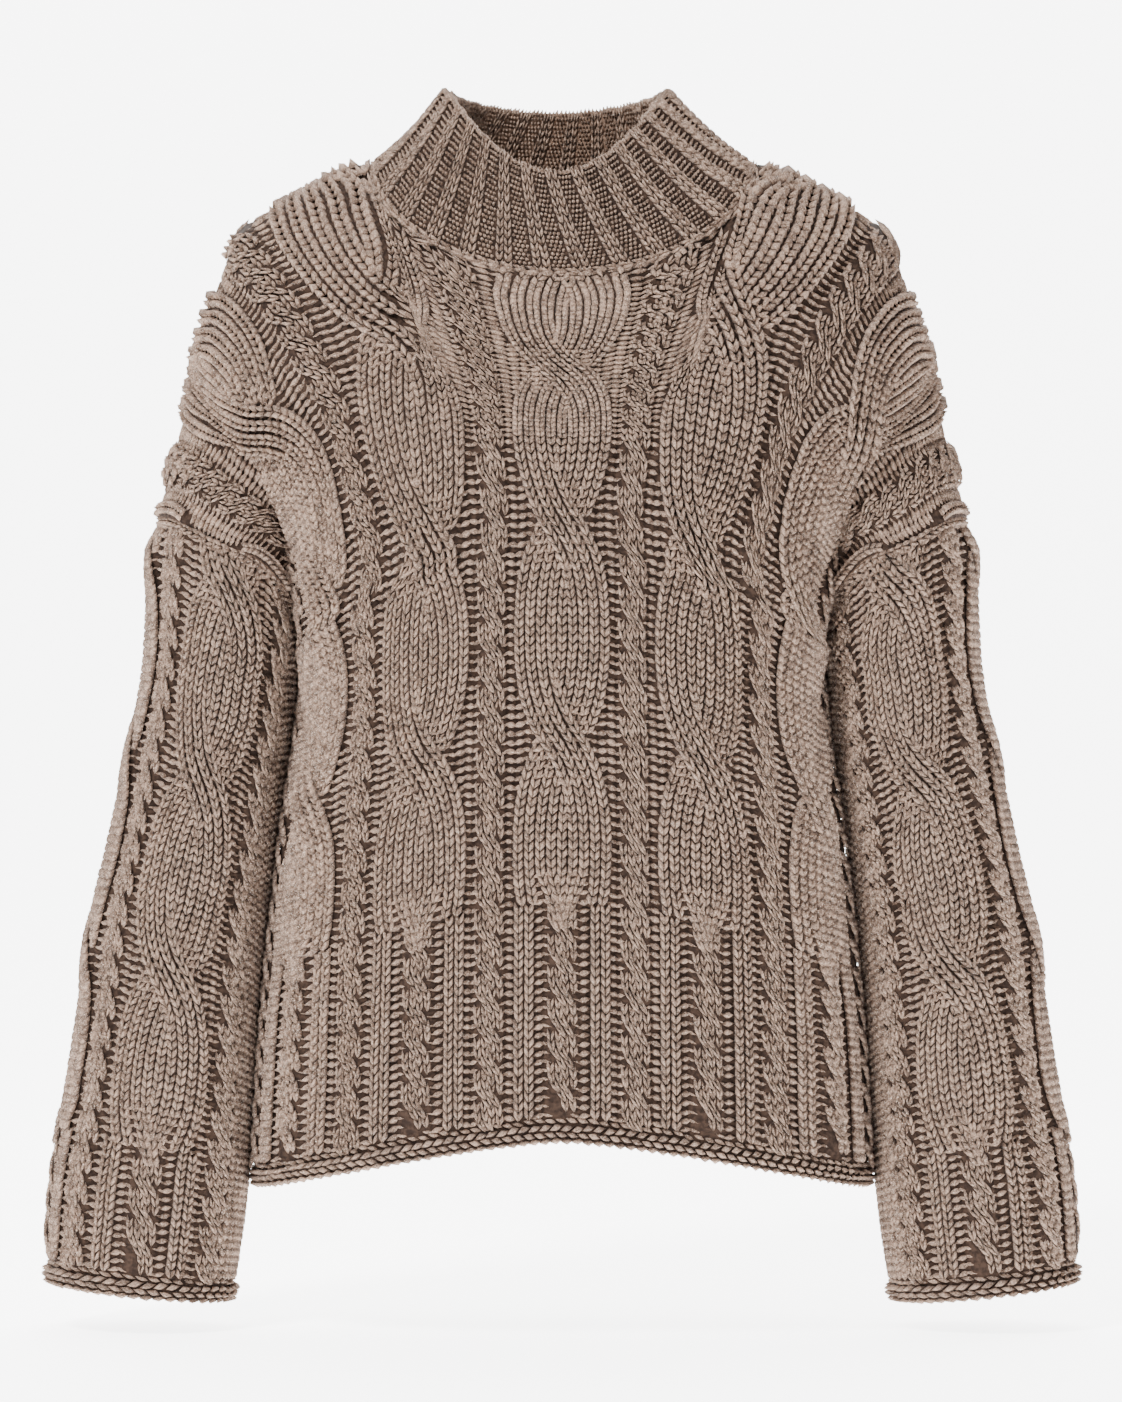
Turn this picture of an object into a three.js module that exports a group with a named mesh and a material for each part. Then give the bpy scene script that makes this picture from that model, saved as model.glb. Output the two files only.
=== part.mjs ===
// Cable knit sweater, filled out as if on a figure and hollow inside.
// Millimetres, +Z up, front towards -Y. The origin is midway between the two points
// where the shoulder seams meet the collar, level with them in height.
// Each piece is a wall of knitted cloth: cables and ribs are raised on its outer side,
// and its inner side is plain.
import * as THREE from 'three';

// Cloth
const WALL = 3;
const SEAM_GAP = 0.3;
const YARN = new THREE.MeshStandardMaterial({ color: 0x96827a, roughness: 0.95, metalness: 0 });

// Driving heights on the centre line of a panel
const HEM = { z: -571, drop: 33, curve: 1.4 };
const ROW_CURVE = 2;
const UNDERARM = { x: 157, z: -285, drop: 58 };
const CROWN_Z = 20;

// Half of a horizontal section of the body, from the top of the shoulders down
const BODY = [
  { z: 30, half: 20, front: 20, back: 20, power: 2 },
  { z: 6, half: 114, front: 45, back: 42, power: 2 },
  { z: -14, half: 157, front: 66, back: 60, power: 2 },
  { z: -33, half: 190, front: 75, back: 72, power: 2 },
  { z: -66, half: 204, front: 86, back: 86, power: 2.1 },
  { z: -111, half: 217, front: 97, back: 100, power: 2.2 },
  { z: -144, half: 205, front: 103, back: 106, power: 2.3 },
  { z: -180, half: 180, front: 106, back: 108, power: 2.4 },
  { z: -207, half: 167, front: 107, back: 108, power: 2.5 },
  { z: -240, half: 160, front: 108, back: 106, power: 2.5 },
  { z: -285, half: 157, front: 108, back: 103, power: 2.5 },
  { z: -300, half: 154.5, front: 108, back: 102, power: 2.5 },
  { z: -330, half: 155, front: 107, back: 101, power: 2.5 },
  { z: -373, half: 162, front: 106, back: 100, power: 2.5 },
  { z: -422, half: 168, front: 104, back: 99, power: 2.5 },
  { z: -514, half: 177.5, front: 101, back: 99, power: 2.5 },
  { z: -610, half: 183, front: 100, back: 98, power: 2.5 },
];

// Horizontal section of an arm: centre from the middle plane, half width, half depth,
// and how far the arm hangs forward
const ARM = [
  { z: -60, centre: 168, half: 36, depth: 0, forward: 0 },
  { z: -111, centre: 178, half: 39, depth: 25, forward: 0 },
  { z: -159, centre: 188, half: 41, depth: 45, forward: 0 },
  { z: -206, centre: 198.5, half: 41.5, depth: 52, forward: 0 },
  { z: -285, centre: 200.8, half: 43.8, depth: 52, forward: 0 },
  { z: -300, centre: 203.2, half: 42.8, depth: 51, forward: 1 },
  { z: -330, centre: 206.5, half: 44.5, depth: 50, forward: 2 },
  { z: -362, centre: 212.2, half: 45.8, depth: 49, forward: 3 },
  { z: -406, centre: 220, half: 47.5, depth: 48, forward: 5 },
  { z: -445, centre: 227, half: 49.5, depth: 48, forward: 6 },
  { z: -500, centre: 233.2, half: 50.8, depth: 47, forward: 8 },
  { z: -556, centre: 239.5, half: 53.5, depth: 46, forward: 9 },
  { z: -595, centre: 244.8, half: 56.2, depth: 45, forward: 10 },
  { z: -627, centre: 248, half: 56, depth: 44, forward: 10 },
  { z: -680, centre: 253.5, half: 53.5, depth: 42, forward: 10 },
];

// Top line of the shoulder, from the middle to the armhole
const RIDGE = [
  { x: 0, z: CROWN_Z }, { x: 60, z: 16 }, { x: 114, z: 6 }, { x: 157, z: -14 }, { x: 190, z: -33 },
  { x: 204, z: -66 }, { x: 217, z: -111 }, { x: 228, z: -159 }, { x: 240, z: -206 },
];

// Height of the armhole seam at each angle round the arm: 0 outside, 90 front, 180 underarm
const ARMHOLE = [
  { angle: 0, z: -206 }, { angle: 45, z: -208 }, { angle: 75, z: -218 }, { angle: 95, z: -225 },
  { angle: 115, z: -231 }, { angle: 135, z: -244 }, { angle: 155, z: -260 }, { angle: 180, z: -285 },
];

// Web of cloth that bridges the fold between body and arm, gone above a height
const WEB = { depth: 22, rise: 12, inner: 145, outer: 180, fade: 14, full: -170, gone: -110 };

// Neckline: an ellipse hanging from the two neck points
const NECK = { half: 114, z: 6, frontFall: 74, backFall: 16 };
const NECK_WALE = { q: 0.88, bunching: 1.4, near: 0.82, trimFrom: 0.25 };

// Stitch pattern across a panel, in repeats of one wide cable and one rope
const REPEATS = 2.75;
const FOLD_FROM = 1.7;
const EDGE_CLEAR = 0.05;
const COLUMNS = [0, 0.12, 0.26, 0.37, 0.455, 0.545, 0.63, 0.74, 0.88];
const ROPE = { half: 0.12, lowHalf: 0.13, high: 4.5, twist: 1.2 };
const WIDE = {
  half: 0.34, waist: 0.21, high: 5, edge: 0.07, narrow: 0.04, broad: 0.36,
  knot: { high: 2, from: 0.05, to: 0.2 },
};
const RIB = { place: 0.26, half: 0.07, high: 3.4 };
const ROW_PITCH = 18;
const LEAD_WALE = 0.45;
const HEM_ROLL = { height: 12, high: 3.5, start: 0.15 };
const FADE = { armhole: 25, underarmFrom: 12, underarmTo: 50 };

// Points used to measure the length of a path: a row or wale, the top edge, the neckline
const SAMPLES = { row: 160, rim: 400, neckline: 600 };

// Cable crossings up a panel and up a sleeve, from its lower edge
const PANEL_CABLE = { split: 136, first: 234, pitch: 124.5 };
const SLEEVE_CABLE = { split: 93, first: 199, pitch: 120 };

// Sleeve
const CUFF = { z: -667, tilt: 5.5, repeats: 4, plainHalf: 0.45 };
const SEAM = { stepX: 6, stepZ: 3, lowFrom: 8, lowTo: 40, lowOut: 0.5, lowDown: -0.87, easing: 8 };

// Collar
const COLLAR = {
  ribs: 28, perRib: 4, rows: 5, wall: 4, high: 2.6,
  gap: 0.6, topHalf: 66, lean: -3.5, topFront: 60, topBack: 56, sideZ: 50, frontZ: -4, backZ: 43, swell: 3,
};

const smooth = (from, to, at) => THREE.MathUtils.smoothstep(at, from, to);
const mix = THREE.MathUtils.lerp;
const clamp = THREE.MathUtils.clamp;

// Value of a table's column at a place, on a smooth curve through its rows
function lookUp(table, key, column, at) {
  const rising = table[table.length - 1][key] > table[0][key];
  let i = table.findIndex((row) => (rising ? row[key] >= at : row[key] <= at));
  if (i < 0) i = table.length - 1;
  i = clamp(i, 1, table.length - 1);
  const [a, b] = [table[i - 1], table[i]];
  const [before, after] = [table[Math.max(i - 2, 0)], table[Math.min(i + 1, table.length - 1)]];
  const span = b[key] - a[key];
  const t = clamp((at - a[key]) / span, 0, 1);
  const slopeA = ((b[column] - before[column]) / (b[key] - before[key])) * span;
  const slopeB = ((after[column] - a[column]) / (after[key] - a[key])) * span;
  const t2 = t * t;
  const t3 = t2 * t;
  return a[column] * (2 * t3 - 3 * t2 + 1) + b[column] * (3 * t2 - 2 * t3)
    + slopeA * (t3 - 2 * t2 + t) + slopeB * (t3 - t2);
}

// How far the cloth stands from the middle plane over the point x, z
function depthAt(side, x, z) {
  const across = Math.abs(x);
  const power = lookUp(BODY, 'z', 'power', z);
  const reach = across / lookUp(BODY, 'z', 'half', z);
  const body = reach < 1 ? lookUp(BODY, 'z', side, z) * (1 - reach ** power) ** (1 / power) : 0;
  const offset = (across - lookUp(ARM, 'z', 'centre', z)) / lookUp(ARM, 'z', 'half', z);
  const arm = Math.abs(offset) < 1 ? lookUp(ARM, 'z', 'depth', z) * Math.sqrt(1 - offset ** 2) : 0;
  const height = Math.max(z - UNDERARM.z, 0);
  const near = smooth(WEB.inner - WEB.fade, WEB.inner, across)
    * (1 - smooth(WEB.outer, WEB.outer + WEB.fade, across));
  const low = 1 - smooth(WEB.full, WEB.gone, z);
  const web = WEB.depth * (1 - Math.exp(-height / WEB.rise)) * near * low;
  return (body ** 3 + arm ** 3 + web ** 3) ** (1 / 3);
}

// Armhole seam at an angle round the arm, as x and z
function armholePoint(angle) {
  const z = lookUp(ARMHOLE, 'angle', 'z', angle);
  const centre = lookUp(ARM, 'z', 'centre', z);
  const half = lookUp(ARM, 'z', 'half', z);
  return { x: centre + half * Math.cos(THREE.MathUtils.degToRad(angle)), z };
}

// Shoulder line as a curve of even length
const ridgePoints = RIDGE.map(({ x, z }) => new THREE.Vector3(x, 0, z));
const ridgeCurve = new THREE.CatmullRomCurve3(ridgePoints, false, 'centripetal');

// Point on the right half of a panel's drawing: s from the middle to the edge,
// t below 0 for the body under the arms and above 0 for the shoulders
function drawn(s, t) {
  if (t <= 0) {
    const middle = mix(UNDERARM.z + UNDERARM.drop, HEM.z, -t);
    const drop = mix(UNDERARM.drop, HEM.drop, -t);
    const half = lookUp(BODY, 'z', 'half', middle - drop);
    return { x: half * s, z: middle - drop * s ** mix(ROW_CURVE, HEM.curve, -t) };
  }
  const low = { x: UNDERARM.x * s, z: UNDERARM.z + UNDERARM.drop * (1 - s ** ROW_CURVE) };
  const high = ridgeCurve.getPointAt(s);
  const edge = armholePoint(180 * (1 - t));
  const end = RIDGE[RIDGE.length - 1];
  return {
    x: mix(low.x, high.x, t) + s * (edge.x - mix(UNDERARM.x, end.x, t)),
    z: mix(low.z, high.z, t) + s * (edge.z - mix(UNDERARM.z, end.z, t)),
  };
}

// The same point on the cloth
function onCloth(side, s, t) {
  const { x, z } = drawn(Math.abs(s), t);
  const y = (t < 1 ? depthAt(side, x, z) : 0) + SEAM_GAP / 2;
  return new THREE.Vector3(Math.sign(s) * x, side === 'front' ? -y : y, z);
}

// Places along a path that are evenly spaced by its length
function evenly(pathPoint, samples = SAMPLES.row) {
  const points = Array.from({ length: samples + 1 }, (_, i) => pathPoint(i / samples));
  const lengths = [0];
  for (let i = 1; i <= samples; i += 1) {
    lengths.push(lengths[i - 1] + points[i].distanceTo(points[i - 1]));
  }
  return (fraction) => {
    const wanted = clamp(fraction, 0, 1) * lengths[samples];
    const i = clamp(lengths.findIndex((length) => length >= wanted), 1, samples);
    return (i - 1 + (wanted - lengths[i - 1]) / (lengths[i] - lengths[i - 1])) / samples;
  };
}

// Total length of a path
function lengthOf(pathPoint, samples = SAMPLES.row) {
  let length = 0;
  for (let i = 1; i <= samples; i += 1) {
    length += pathPoint(i / samples).distanceTo(pathPoint((i - 1) / samples));
  }
  return length;
}

// Height of the neckline over the point x
function necklineZ(side, x) {
  const fall = side === 'front' ? NECK.frontFall : NECK.backFall;
  const reach = Math.min(Math.abs(x) / NECK.half, 1);
  return NECK.z - fall * Math.sqrt(1 - reach ** 2);
}

// Where a wale that ends at the neckline meets it
function necklineEnd(side, q) {
  const x = NECK.half * Math.sin((Math.PI / 2) * (Math.abs(q) / NECK_WALE.q) ** NECK_WALE.bunching);
  const z = necklineZ(side, x);
  const y = Math.abs(q) < NECK_WALE.q ? depthAt(side, x, z) + SEAM_GAP / 2 : SEAM_GAP / 2;
  return new THREE.Vector3(Math.sign(q) * x, side === 'front' ? -y : y, z);
}

// Where a wale ends: at the neckline or at the shoulder line
function waleTop(side, s) {
  const end = drawn(Math.abs(s), 1);
  if (end.x >= NECK.half) return 1;
  let low = 0;
  let high = 1;
  for (let i = 0; i < 40; i += 1) {
    const middle = (low + high) / 2;
    const { x, z } = drawn(Math.abs(s), middle);
    if (z > necklineZ(side, x)) high = middle; else low = middle;
  }
  return low;
}

// Round bump of a given half width and height
const bump = (offset, half, high) => (
  Math.abs(offset) < half ? high * Math.sqrt(1 - (offset / half) ** 2) : 0);

// Flat-topped bump with sloping edges
const plateau = (offset, half, high, edge) => high * (1 - smooth(half - edge, half + edge, Math.abs(offset)));

// Height of the rope cable, its two strands high in turn from row to row
function ropeRelief(offset, row) {
  const lean = (row % 2 ? 1 : -1) * Math.sign(offset) * ROPE.twist;
  const high = bump(offset, ROPE.half, ROPE.high);
  return high > 0 ? high + lean : 0;
}

// Height of the wide cable at a distance above the lower edge
function wideRelief(offset, up, row, cable) {
  if (up < cable.split) {
    const ribs = bump(Math.abs(offset) - RIB.place, RIB.half, RIB.high);
    return Math.max(ribs, bump(offset, ROPE.lowHalf, ROPE.high));
  }
  const phase = (up - cable.first) / cable.pitch;
  const fromCrossing = Math.abs(phase - Math.round(phase));
  const half = mix(WIDE.waist, WIDE.half, smooth(WIDE.narrow, WIDE.broad, fromCrossing));
  const knot = WIDE.knot.high * (1 - smooth(WIDE.knot.from, WIDE.knot.to, fromCrossing));
  return plateau(offset, half, WIDE.high + knot, WIDE.edge);
}

// Height of the rolled edge at a distance above the lower edge
function rollRelief(up) {
  if (up > HEM_ROLL.height + 1) return 0;
  return HEM_ROLL.high * Math.sin(Math.PI * clamp(up / HEM_ROLL.height, HEM_ROLL.start, 1));
}

// Height of the stitch pattern over plain cloth; q counts repeats from the middle
function patternRelief(q, up, row, cable) {
  const wide = q - Math.round(q);
  const rope = Math.abs(wide) - 0.5;
  return Math.max(wideRelief(wide, up, row, cable), ropeRelief(rope * Math.sign(wide || 1), row));
}

// Outward direction at each point of a grid, from its neighbours
function gridNormals(points, wraps, outward) {
  const rows = points.length;
  const columns = points[0].length;
  const column = (c) => (wraps ? (c + columns) % columns : clamp(c, 0, columns - 1));
  return points.map((line, r) => line.map((_, c) => {
    const across = points[r][column(c + 1)].clone().sub(points[r][column(c - 1)]);
    const along = points[Math.min(r + 1, rows - 1)][c].clone().sub(points[Math.max(r - 1, 0)][c]);
    return across.cross(along).multiplyScalar(outward).normalize();
  }));
}

// Points moved out along their directions
const moved = (points, normals, distance) => points.map((line, r) => line.map((p, c) => (
  p.clone().addScaledVector(normals[r][c], distance(r, c)))));

// Closed wall between an outer grid and a coarser inner grid that keeps some rows and columns
function wallGeometry(outer, inner, keepRows, keepColumns, wraps) {
  const positions = [];
  const outerId = outer.map((line) => line.map((p) => positions.push(p.x, p.y, p.z) / 3 - 1));
  const innerId = new Map();
  for (const r of keepRows) {
    for (const c of keepColumns) {
      const p = inner[r][c];
      innerId.set(`${r} ${c}`, positions.push(p.x, p.y, p.z) / 3 - 1);
    }
  }
  const inside = (r, c) => innerId.get(`${r} ${c}`);
  const columns = outer[0].length;
  const faces = [];
  const quad = (a, b, c, d, turned) => {
    if (turned) faces.push(a, b, d, b, c, d); else faces.push(a, b, c, a, c, d);
  };
  const nextColumn = (c) => (c + 1) % columns;
  for (let r = 0; r + 1 < outer.length; r += 1) {
    for (let c = 0; c < (wraps ? columns : columns - 1); c += 1) {
      quad(outerId[r][c], outerId[r][nextColumn(c)], outerId[r + 1][nextColumn(c)], outerId[r + 1][c], true);
    }
  }
  const steps = wraps ? keepColumns.length : keepColumns.length - 1;
  for (let i = 0; i + 1 < keepRows.length; i += 1) {
    for (let j = 0; j < steps; j += 1) {
      const [c, d] = [keepColumns[j], keepColumns[(j + 1) % keepColumns.length]];
      const [r, s] = [keepRows[i], keepRows[i + 1]];
      quad(inside(r, d), inside(r, c), inside(s, c), inside(s, d), false);
    }
  }
  // Strip between an outer border and the inner border that keeps some of its points
  const rim = (outside, within, kept, flipped) => {
    const total = outside.length;
    for (let k = 0; k < (wraps && kept.closed ? kept.places.length : kept.places.length - 1); k += 1) {
      const from = kept.places[k];
      const to = kept.places[(k + 1) % kept.places.length] + (k + 1 === kept.places.length ? total : 0);
      const half = Math.floor((from + to) / 2);
      const add = (a, b, c) => (flipped ? faces.push(a, c, b) : faces.push(a, b, c));
      for (let n = from; n < to; n += 1) {
        const near = n < half ? within(kept.places[k]) : within(kept.places[(k + 1) % kept.places.length]);
        add(outside[(n + 1) % total], outside[n % total], near);
      }
      add(outside[half % total], within(kept.places[k]), within(kept.places[(k + 1) % kept.places.length]));
    }
  };
  const last = outer.length - 1;
  const acrossKept = { places: keepColumns, closed: true };
  rim(outerId[0], (c) => inside(0, c), acrossKept, false);
  rim(outerId[last], (c) => inside(last, c), acrossKept, true);
  if (!wraps) {
    const alongKept = { places: keepRows, closed: false };
    rim(outerId.map((line) => line[0]), (r) => inside(r, 0), alongKept, true);
    rim(outerId.map((line) => line[columns - 1]), (r) => inside(r, columns - 1), alongKept, false);
  }
  const geometry = new THREE.BufferGeometry();
  geometry.setAttribute('position', new THREE.Float32BufferAttribute(positions, 3));
  geometry.setIndex(volumeOf(positions, faces) < 0 ? turnedOver(faces) : faces);
  geometry.computeVertexNormals();
  return geometry;
}

// Signed volume inside a closed set of faces
function volumeOf(positions, faces) {
  const corner = (i) => new THREE.Vector3().fromArray(positions, 3 * i);
  let volume = 0;
  for (let i = 0; i < faces.length; i += 3) {
    volume += corner(faces[i]).dot(corner(faces[i + 1]).cross(corner(faces[i + 2]))) / 6;
  }
  return volume;
}

// The same faces seen from the other side
function turnedOver(faces) {
  const turned = [...faces];
  for (let i = 0; i < faces.length; i += 3) [turned[i + 1], turned[i + 2]] = [faces[i + 2], faces[i + 1]];
  return turned;
}

// Every second place from a first to a last one, always with the last and others that must stay
function everySecond(first, last, must = []) {
  const places = new Set(must);
  for (let i = first; i < last; i += 2) places.add(i);
  places.add(last);
  return [...places].sort((a, b) => a - b);
}

// Wale places across a panel, in repeats from the middle
function panelWales() {
  const half = [];
  for (let repeat = 0; repeat < REPEATS; repeat += 1) {
    for (const place of COLUMNS) {
      const q = repeat + place;
      if (q > 0 && q < REPEATS - EDGE_CLEAR) half.push(q);
    }
  }
  half.push(NECK_WALE.near, REPEATS);
  half.sort((a, b) => a - b);
  return [...half.map((q) => -q).reverse(), 0, ...half];
}

// Rows up a panel: t values, evenly spaced along one wale, with close rows in the hem roll
function panelRows(side) {
  const lead = (f) => onCloth(side, LEAD_WALE, f * 2 - 1);
  const below = (f) => onCloth(side, LEAD_WALE, f - 1);
  const above = (f) => onCloth(side, LEAD_WALE, f);
  const lower = Math.round(lengthOf(below) / ROW_PITCH);
  const upper = Math.round(lengthOf(above) / ROW_PITCH);
  const placeBelow = evenly(below);
  const placeAbove = evenly(above);
  const roll = HEM_ROLL.height / lengthOf(lead) * 2;
  const rows = [-1, -1 + roll / 2, -1 + roll];
  for (let i = 2; i < lower; i += 1) rows.push(placeBelow(i / lower) - 1);
  const underarmRow = rows.length;
  for (let i = 0; i <= upper; i += 1) rows.push(placeAbove(i / upper));
  return { rows, underarmRow };
}

// Front or back panel: its wall and the border that the sleeves join
function makePanel(side) {
  const wales = panelWales();
  const { rows, underarmRow } = panelRows(side);
  const { trimFrom } = NECK_WALE;
  const points = rows.map((t, r) => {
    const even = evenly((f) => onCloth(side, f, t));
    return wales.map((q) => {
      if (r === rows.length - 1 && Math.abs(q) <= NECK_WALE.q) return necklineEnd(side, q);
      const s = even(Math.abs(q) / REPEATS);
      const top = waleTop(side, s);
      const trimmed = t <= trimFrom ? t : mix(trimFrom, top, (t - trimFrom) / (1 - trimFrom));
      return onCloth(side, q < 0 ? -s : s, trimmed);
    });
  });
  const normals = gridNormals(points, false, side === 'front' ? 1 : -1);
  const lastRow = rows.length - 1;
  const lastColumn = wales.length - 1;
  const flatten = (r, c) => normals[r][c].setY(0).normalize();
  for (let r = 0; r < underarmRow; r += 1) [0, lastColumn].forEach((c) => flatten(r, c));
  wales.forEach((q, c) => {
    if (Math.abs(points[lastRow][c].y) < SEAM_GAP) flatten(lastRow, c);
  });
  for (const c of [0, lastColumn]) {
    normals[underarmRow][c].set(0, 0, -1);
    for (let r = underarmRow + 1; r < lastRow; r += 1) normals[r][c] = seamNormal(side, points[r][c]);
  }
  const relief = (r, c) => {
    const up = rows[r] <= 0 ? mix(0, UNDERARM.z + UNDERARM.drop - HEM.z, rows[r] + 1)
      : mix(UNDERARM.z + UNDERARM.drop, CROWN_Z, rows[r]) - HEM.z;
    const border = r === lastRow || c === 0 || c === lastColumn ? 0 : 1;
    const fold = points[r][c].distanceTo(points[underarmRow][c < lastColumn / 2 ? 0 : lastColumn]);
    const edge = border * smooth(FADE.underarmFrom, FADE.underarmTo, fold);
    const knit = up < HEM_ROLL.height ? 0 : patternRelief(wales[c], up, r, PANEL_CABLE);
    return edge * Math.max(knit, rollRelief(up));
  };
  const outer = moved(points, normals, relief);
  const inner = moved(points, normals, () => -WALL);
  const fine = wales.map((q, c) => (Math.abs(q) > FOLD_FROM || Math.abs(q) <= NECK_WALE.q ? c : 0))
    .filter((c) => c);
  const keptRows = [...everySecond(0, underarmRow), ...everySecond(underarmRow, lastRow).slice(1)];
  const geometry = wallGeometry(outer, inner, keptRows, everySecond(0, lastColumn, fine), false);
  const border = (c) => points.map((line, r) => ({ point: line[c], normal: normals[r][c] }))
    .slice(underarmRow);
  const neck = points[lastRow].map((point, c) => ({ point, normal: normals[lastRow][c] }))
    .filter((_, c) => Math.abs(wales[c]) <= NECK_WALE.q);
  return { geometry, leftBorder: border(0), rightBorder: border(lastColumn), neck };
}

// Outward direction on the armhole seam, where cloth of body and arm meet. It turns
// straight down at the underarm, between the two.
function seamNormal(side, point) {
  const across = Math.abs(point.x);
  const riseX = depthAt(side, across + SEAM.stepX, point.z) - depthAt(side, across - SEAM.stepX, point.z);
  const riseZ = depthAt(side, across, point.z + SEAM.stepZ) - depthAt(side, across, point.z - SEAM.stepZ);
  const [slopeX, slopeZ] = [riseX / (2 * SEAM.stepX), riseZ / (2 * SEAM.stepZ)];
  const out = side === 'front' ? -1 : 1;
  const smoothed = new THREE.Vector3(-slopeX * Math.sign(point.x), out, -slopeZ).normalize();
  const low = 1 - smooth(SEAM.lowFrom, SEAM.lowTo, point.z - UNDERARM.z);
  return smoothed.lerp(new THREE.Vector3(0, out * SEAM.lowOut, SEAM.lowDown), low).normalize();
}

// Point on the arm at an angle and height, for the arm on one side
function onArm(hand, angle, z) {
  const reach = lookUp(ARM, 'z', 'centre', z) + lookUp(ARM, 'z', 'half', z) * Math.cos(angle);
  const y = -lookUp(ARM, 'z', 'depth', z) * Math.sin(angle) - lookUp(ARM, 'z', 'forward', z);
  return new THREE.Vector3(hand * reach, y, z);
}

// Sleeve from the armhole seam to the rolled cuff; hand is -1 or 1
function makeSleeve(hand, front, back) {
  const frontBorder = hand < 0 ? front.leftBorder : front.rightBorder;
  const backBorder = hand < 0 ? back.leftBorder : back.rightBorder;
  const last = frontBorder.length - 1;
  const middle = (a, b) => ({
    point: a.point.clone().add(b.point).multiplyScalar(0.5),
    normal: a.normal.clone().add(b.normal).normalize(),
  });
  const ring = [
    middle(frontBorder[0], backBorder[0]),
    ...frontBorder.slice(1, last),
    middle(frontBorder[last], backBorder[last]),
    ...backBorder.slice(1, last).reverse(),
  ];
  const angles = ring.map((_, i) => Math.PI * (1 - i / last));
  const seam = ring.map(({ point }) => point);
  const length = Math.abs(CUFF.z - seam[last].z);
  const count = Math.round(length / ROW_PITCH);
  const roll = HEM_ROLL.height / length;
  const fractions = [];
  for (let i = 0; i < count; i += 1) fractions.push(i / count);
  const tail = fractions.pop();
  fractions.push(Math.min(tail, 1 - 2 * roll), 1 - roll, 1 - roll / 2, 1);
  const intoSleeve = ring.map(({ normal }, i) => {
    const tangent = seam[(i + 1) % seam.length].clone().sub(seam[(i + seam.length - 1) % seam.length]);
    return tangent.cross(normal).multiplyScalar(hand).setLength(SEAM_GAP);
  });
  const points = fractions.map((f) => ring.map((_, i) => {
    const angle = angles[i];
    const cuffZ = CUFF.z + CUFF.tilt * Math.cos(angle);
    const z = mix(seam[i].z, cuffZ, f);
    const shift = seam[i].clone().sub(onArm(hand, angle, seam[i].z));
    const place = onArm(hand, angle, z).addScaledVector(shift, (1 - f) ** SEAM.easing);
    return f > 0 ? place : seam[i].clone().add(intoSleeve[i]);
  }));
  const normals = gridNormals(points, true, -hand);
  ring.forEach(({ normal }, i) => normals[0][i].copy(normal));
  const relief = (r, c) => {
    const up = (1 - fractions[r]) * length;
    const q = (angles[c] / (2 * Math.PI)) * CUFF.repeats;
    const inside = Math.abs(Math.abs(q) - CUFF.repeats / 2) < CUFF.plainHalf;
    const away = smooth(0, FADE.armhole, fractions[r] * length);
    const pattern = inside ? RIB.high / 2 : patternRelief(q, up, r, SLEEVE_CABLE);
    return away * Math.max(up < HEM_ROLL.height ? 0 : pattern, rollRelief(up));
  };
  const outer = moved(points, normals, relief);
  const inner = moved(points, normals, () => -WALL);
  const frontKept = everySecond(0, last);
  const backKept = frontKept.filter((i) => i > 0 && i < last).map((i) => 2 * last - i).reverse();
  const keptRows = everySecond(0, fractions.length - 1, [1]);
  return wallGeometry(outer, inner, keptRows, [...frontKept, ...backKept], true);
}

// Closed line through points, as a path
function closedLine(corners) {
  return (f) => {
    const place = (f % 1) * corners.length;
    const i = Math.floor(place);
    return corners[i].clone().lerp(corners[(i + 1) % corners.length], place - i);
  };
}

// Top edge of the collar at an angle
function collarTop(angle) {
  const [c, s] = [Math.cos(angle), Math.sin(angle)];
  const depth = s < 0 ? COLLAR.topFront : COLLAR.topBack;
  const end = s < 0 ? COLLAR.frontZ : COLLAR.backZ;
  return new THREE.Vector3(COLLAR.lean + COLLAR.topHalf * c, depth * s, mix(COLLAR.sideZ, end, s * s));
}

// Ribbed funnel collar, from the right shoulder round the back
function makeCollar(front, back) {
  const columns = COLLAR.ribs * COLLAR.perRib;
  const seam = [...[...back.neck].reverse(), ...front.neck];
  const neckLoop = closedLine(seam.map(({ point }) => point));
  const neckNormal = closedLine(seam.map(({ normal }) => normal));
  const baseAt = evenly(neckLoop, SAMPLES.neckline);
  const topAt = evenly((f) => collarTop(f * 2 * Math.PI), SAMPLES.rim);
  const seamNormals = Array.from({ length: columns }, (_, c) => neckNormal(baseAt(c / columns)).normalize());
  const base = seamNormals.map((normal, c) => {
    const [before, at, after] = [c - 0.5, c, c + 0.5]
      .map((place) => neckLoop(baseAt(((place + columns) % columns) / columns)));
    return at.addScaledVector(normal.clone().cross(after.sub(before)).normalize(), COLLAR.gap);
  });
  const points = [];
  for (let r = 0; r <= COLLAR.rows; r += 1) {
    const f = r / COLLAR.rows;
    points.push(base.map((point, c) => {
      const place = point.clone().lerp(collarTop(topAt(c / columns) * 2 * Math.PI), f);
      return place.setZ(place.z - COLLAR.swell * Math.sin(Math.PI * f));
    }));
  }
  const normals = gridNormals(points, true, 1);
  normals[0] = seamNormals;
  const relief = (r, c) => {
    const onRib = (c % COLLAR.perRib) < COLLAR.perRib / 2;
    return onRib && r > 0 ? COLLAR.high : 0;
  };
  const outer = moved(points, normals, relief);
  const inner = moved(points, normals, (r) => (r > 0 ? -COLLAR.wall : -WALL));
  const kept = Array.from({ length: columns / 4 }, (_, i) => 4 * i);
  return wallGeometry(outer, inner, [0, 2, 4, COLLAR.rows], kept, true);
}

function named(name, geometry) {
  const mesh = new THREE.Mesh(geometry, YARN);
  mesh.name = name;
  return mesh;
}

const front = makePanel('front');
const back = makePanel('back');

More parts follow.
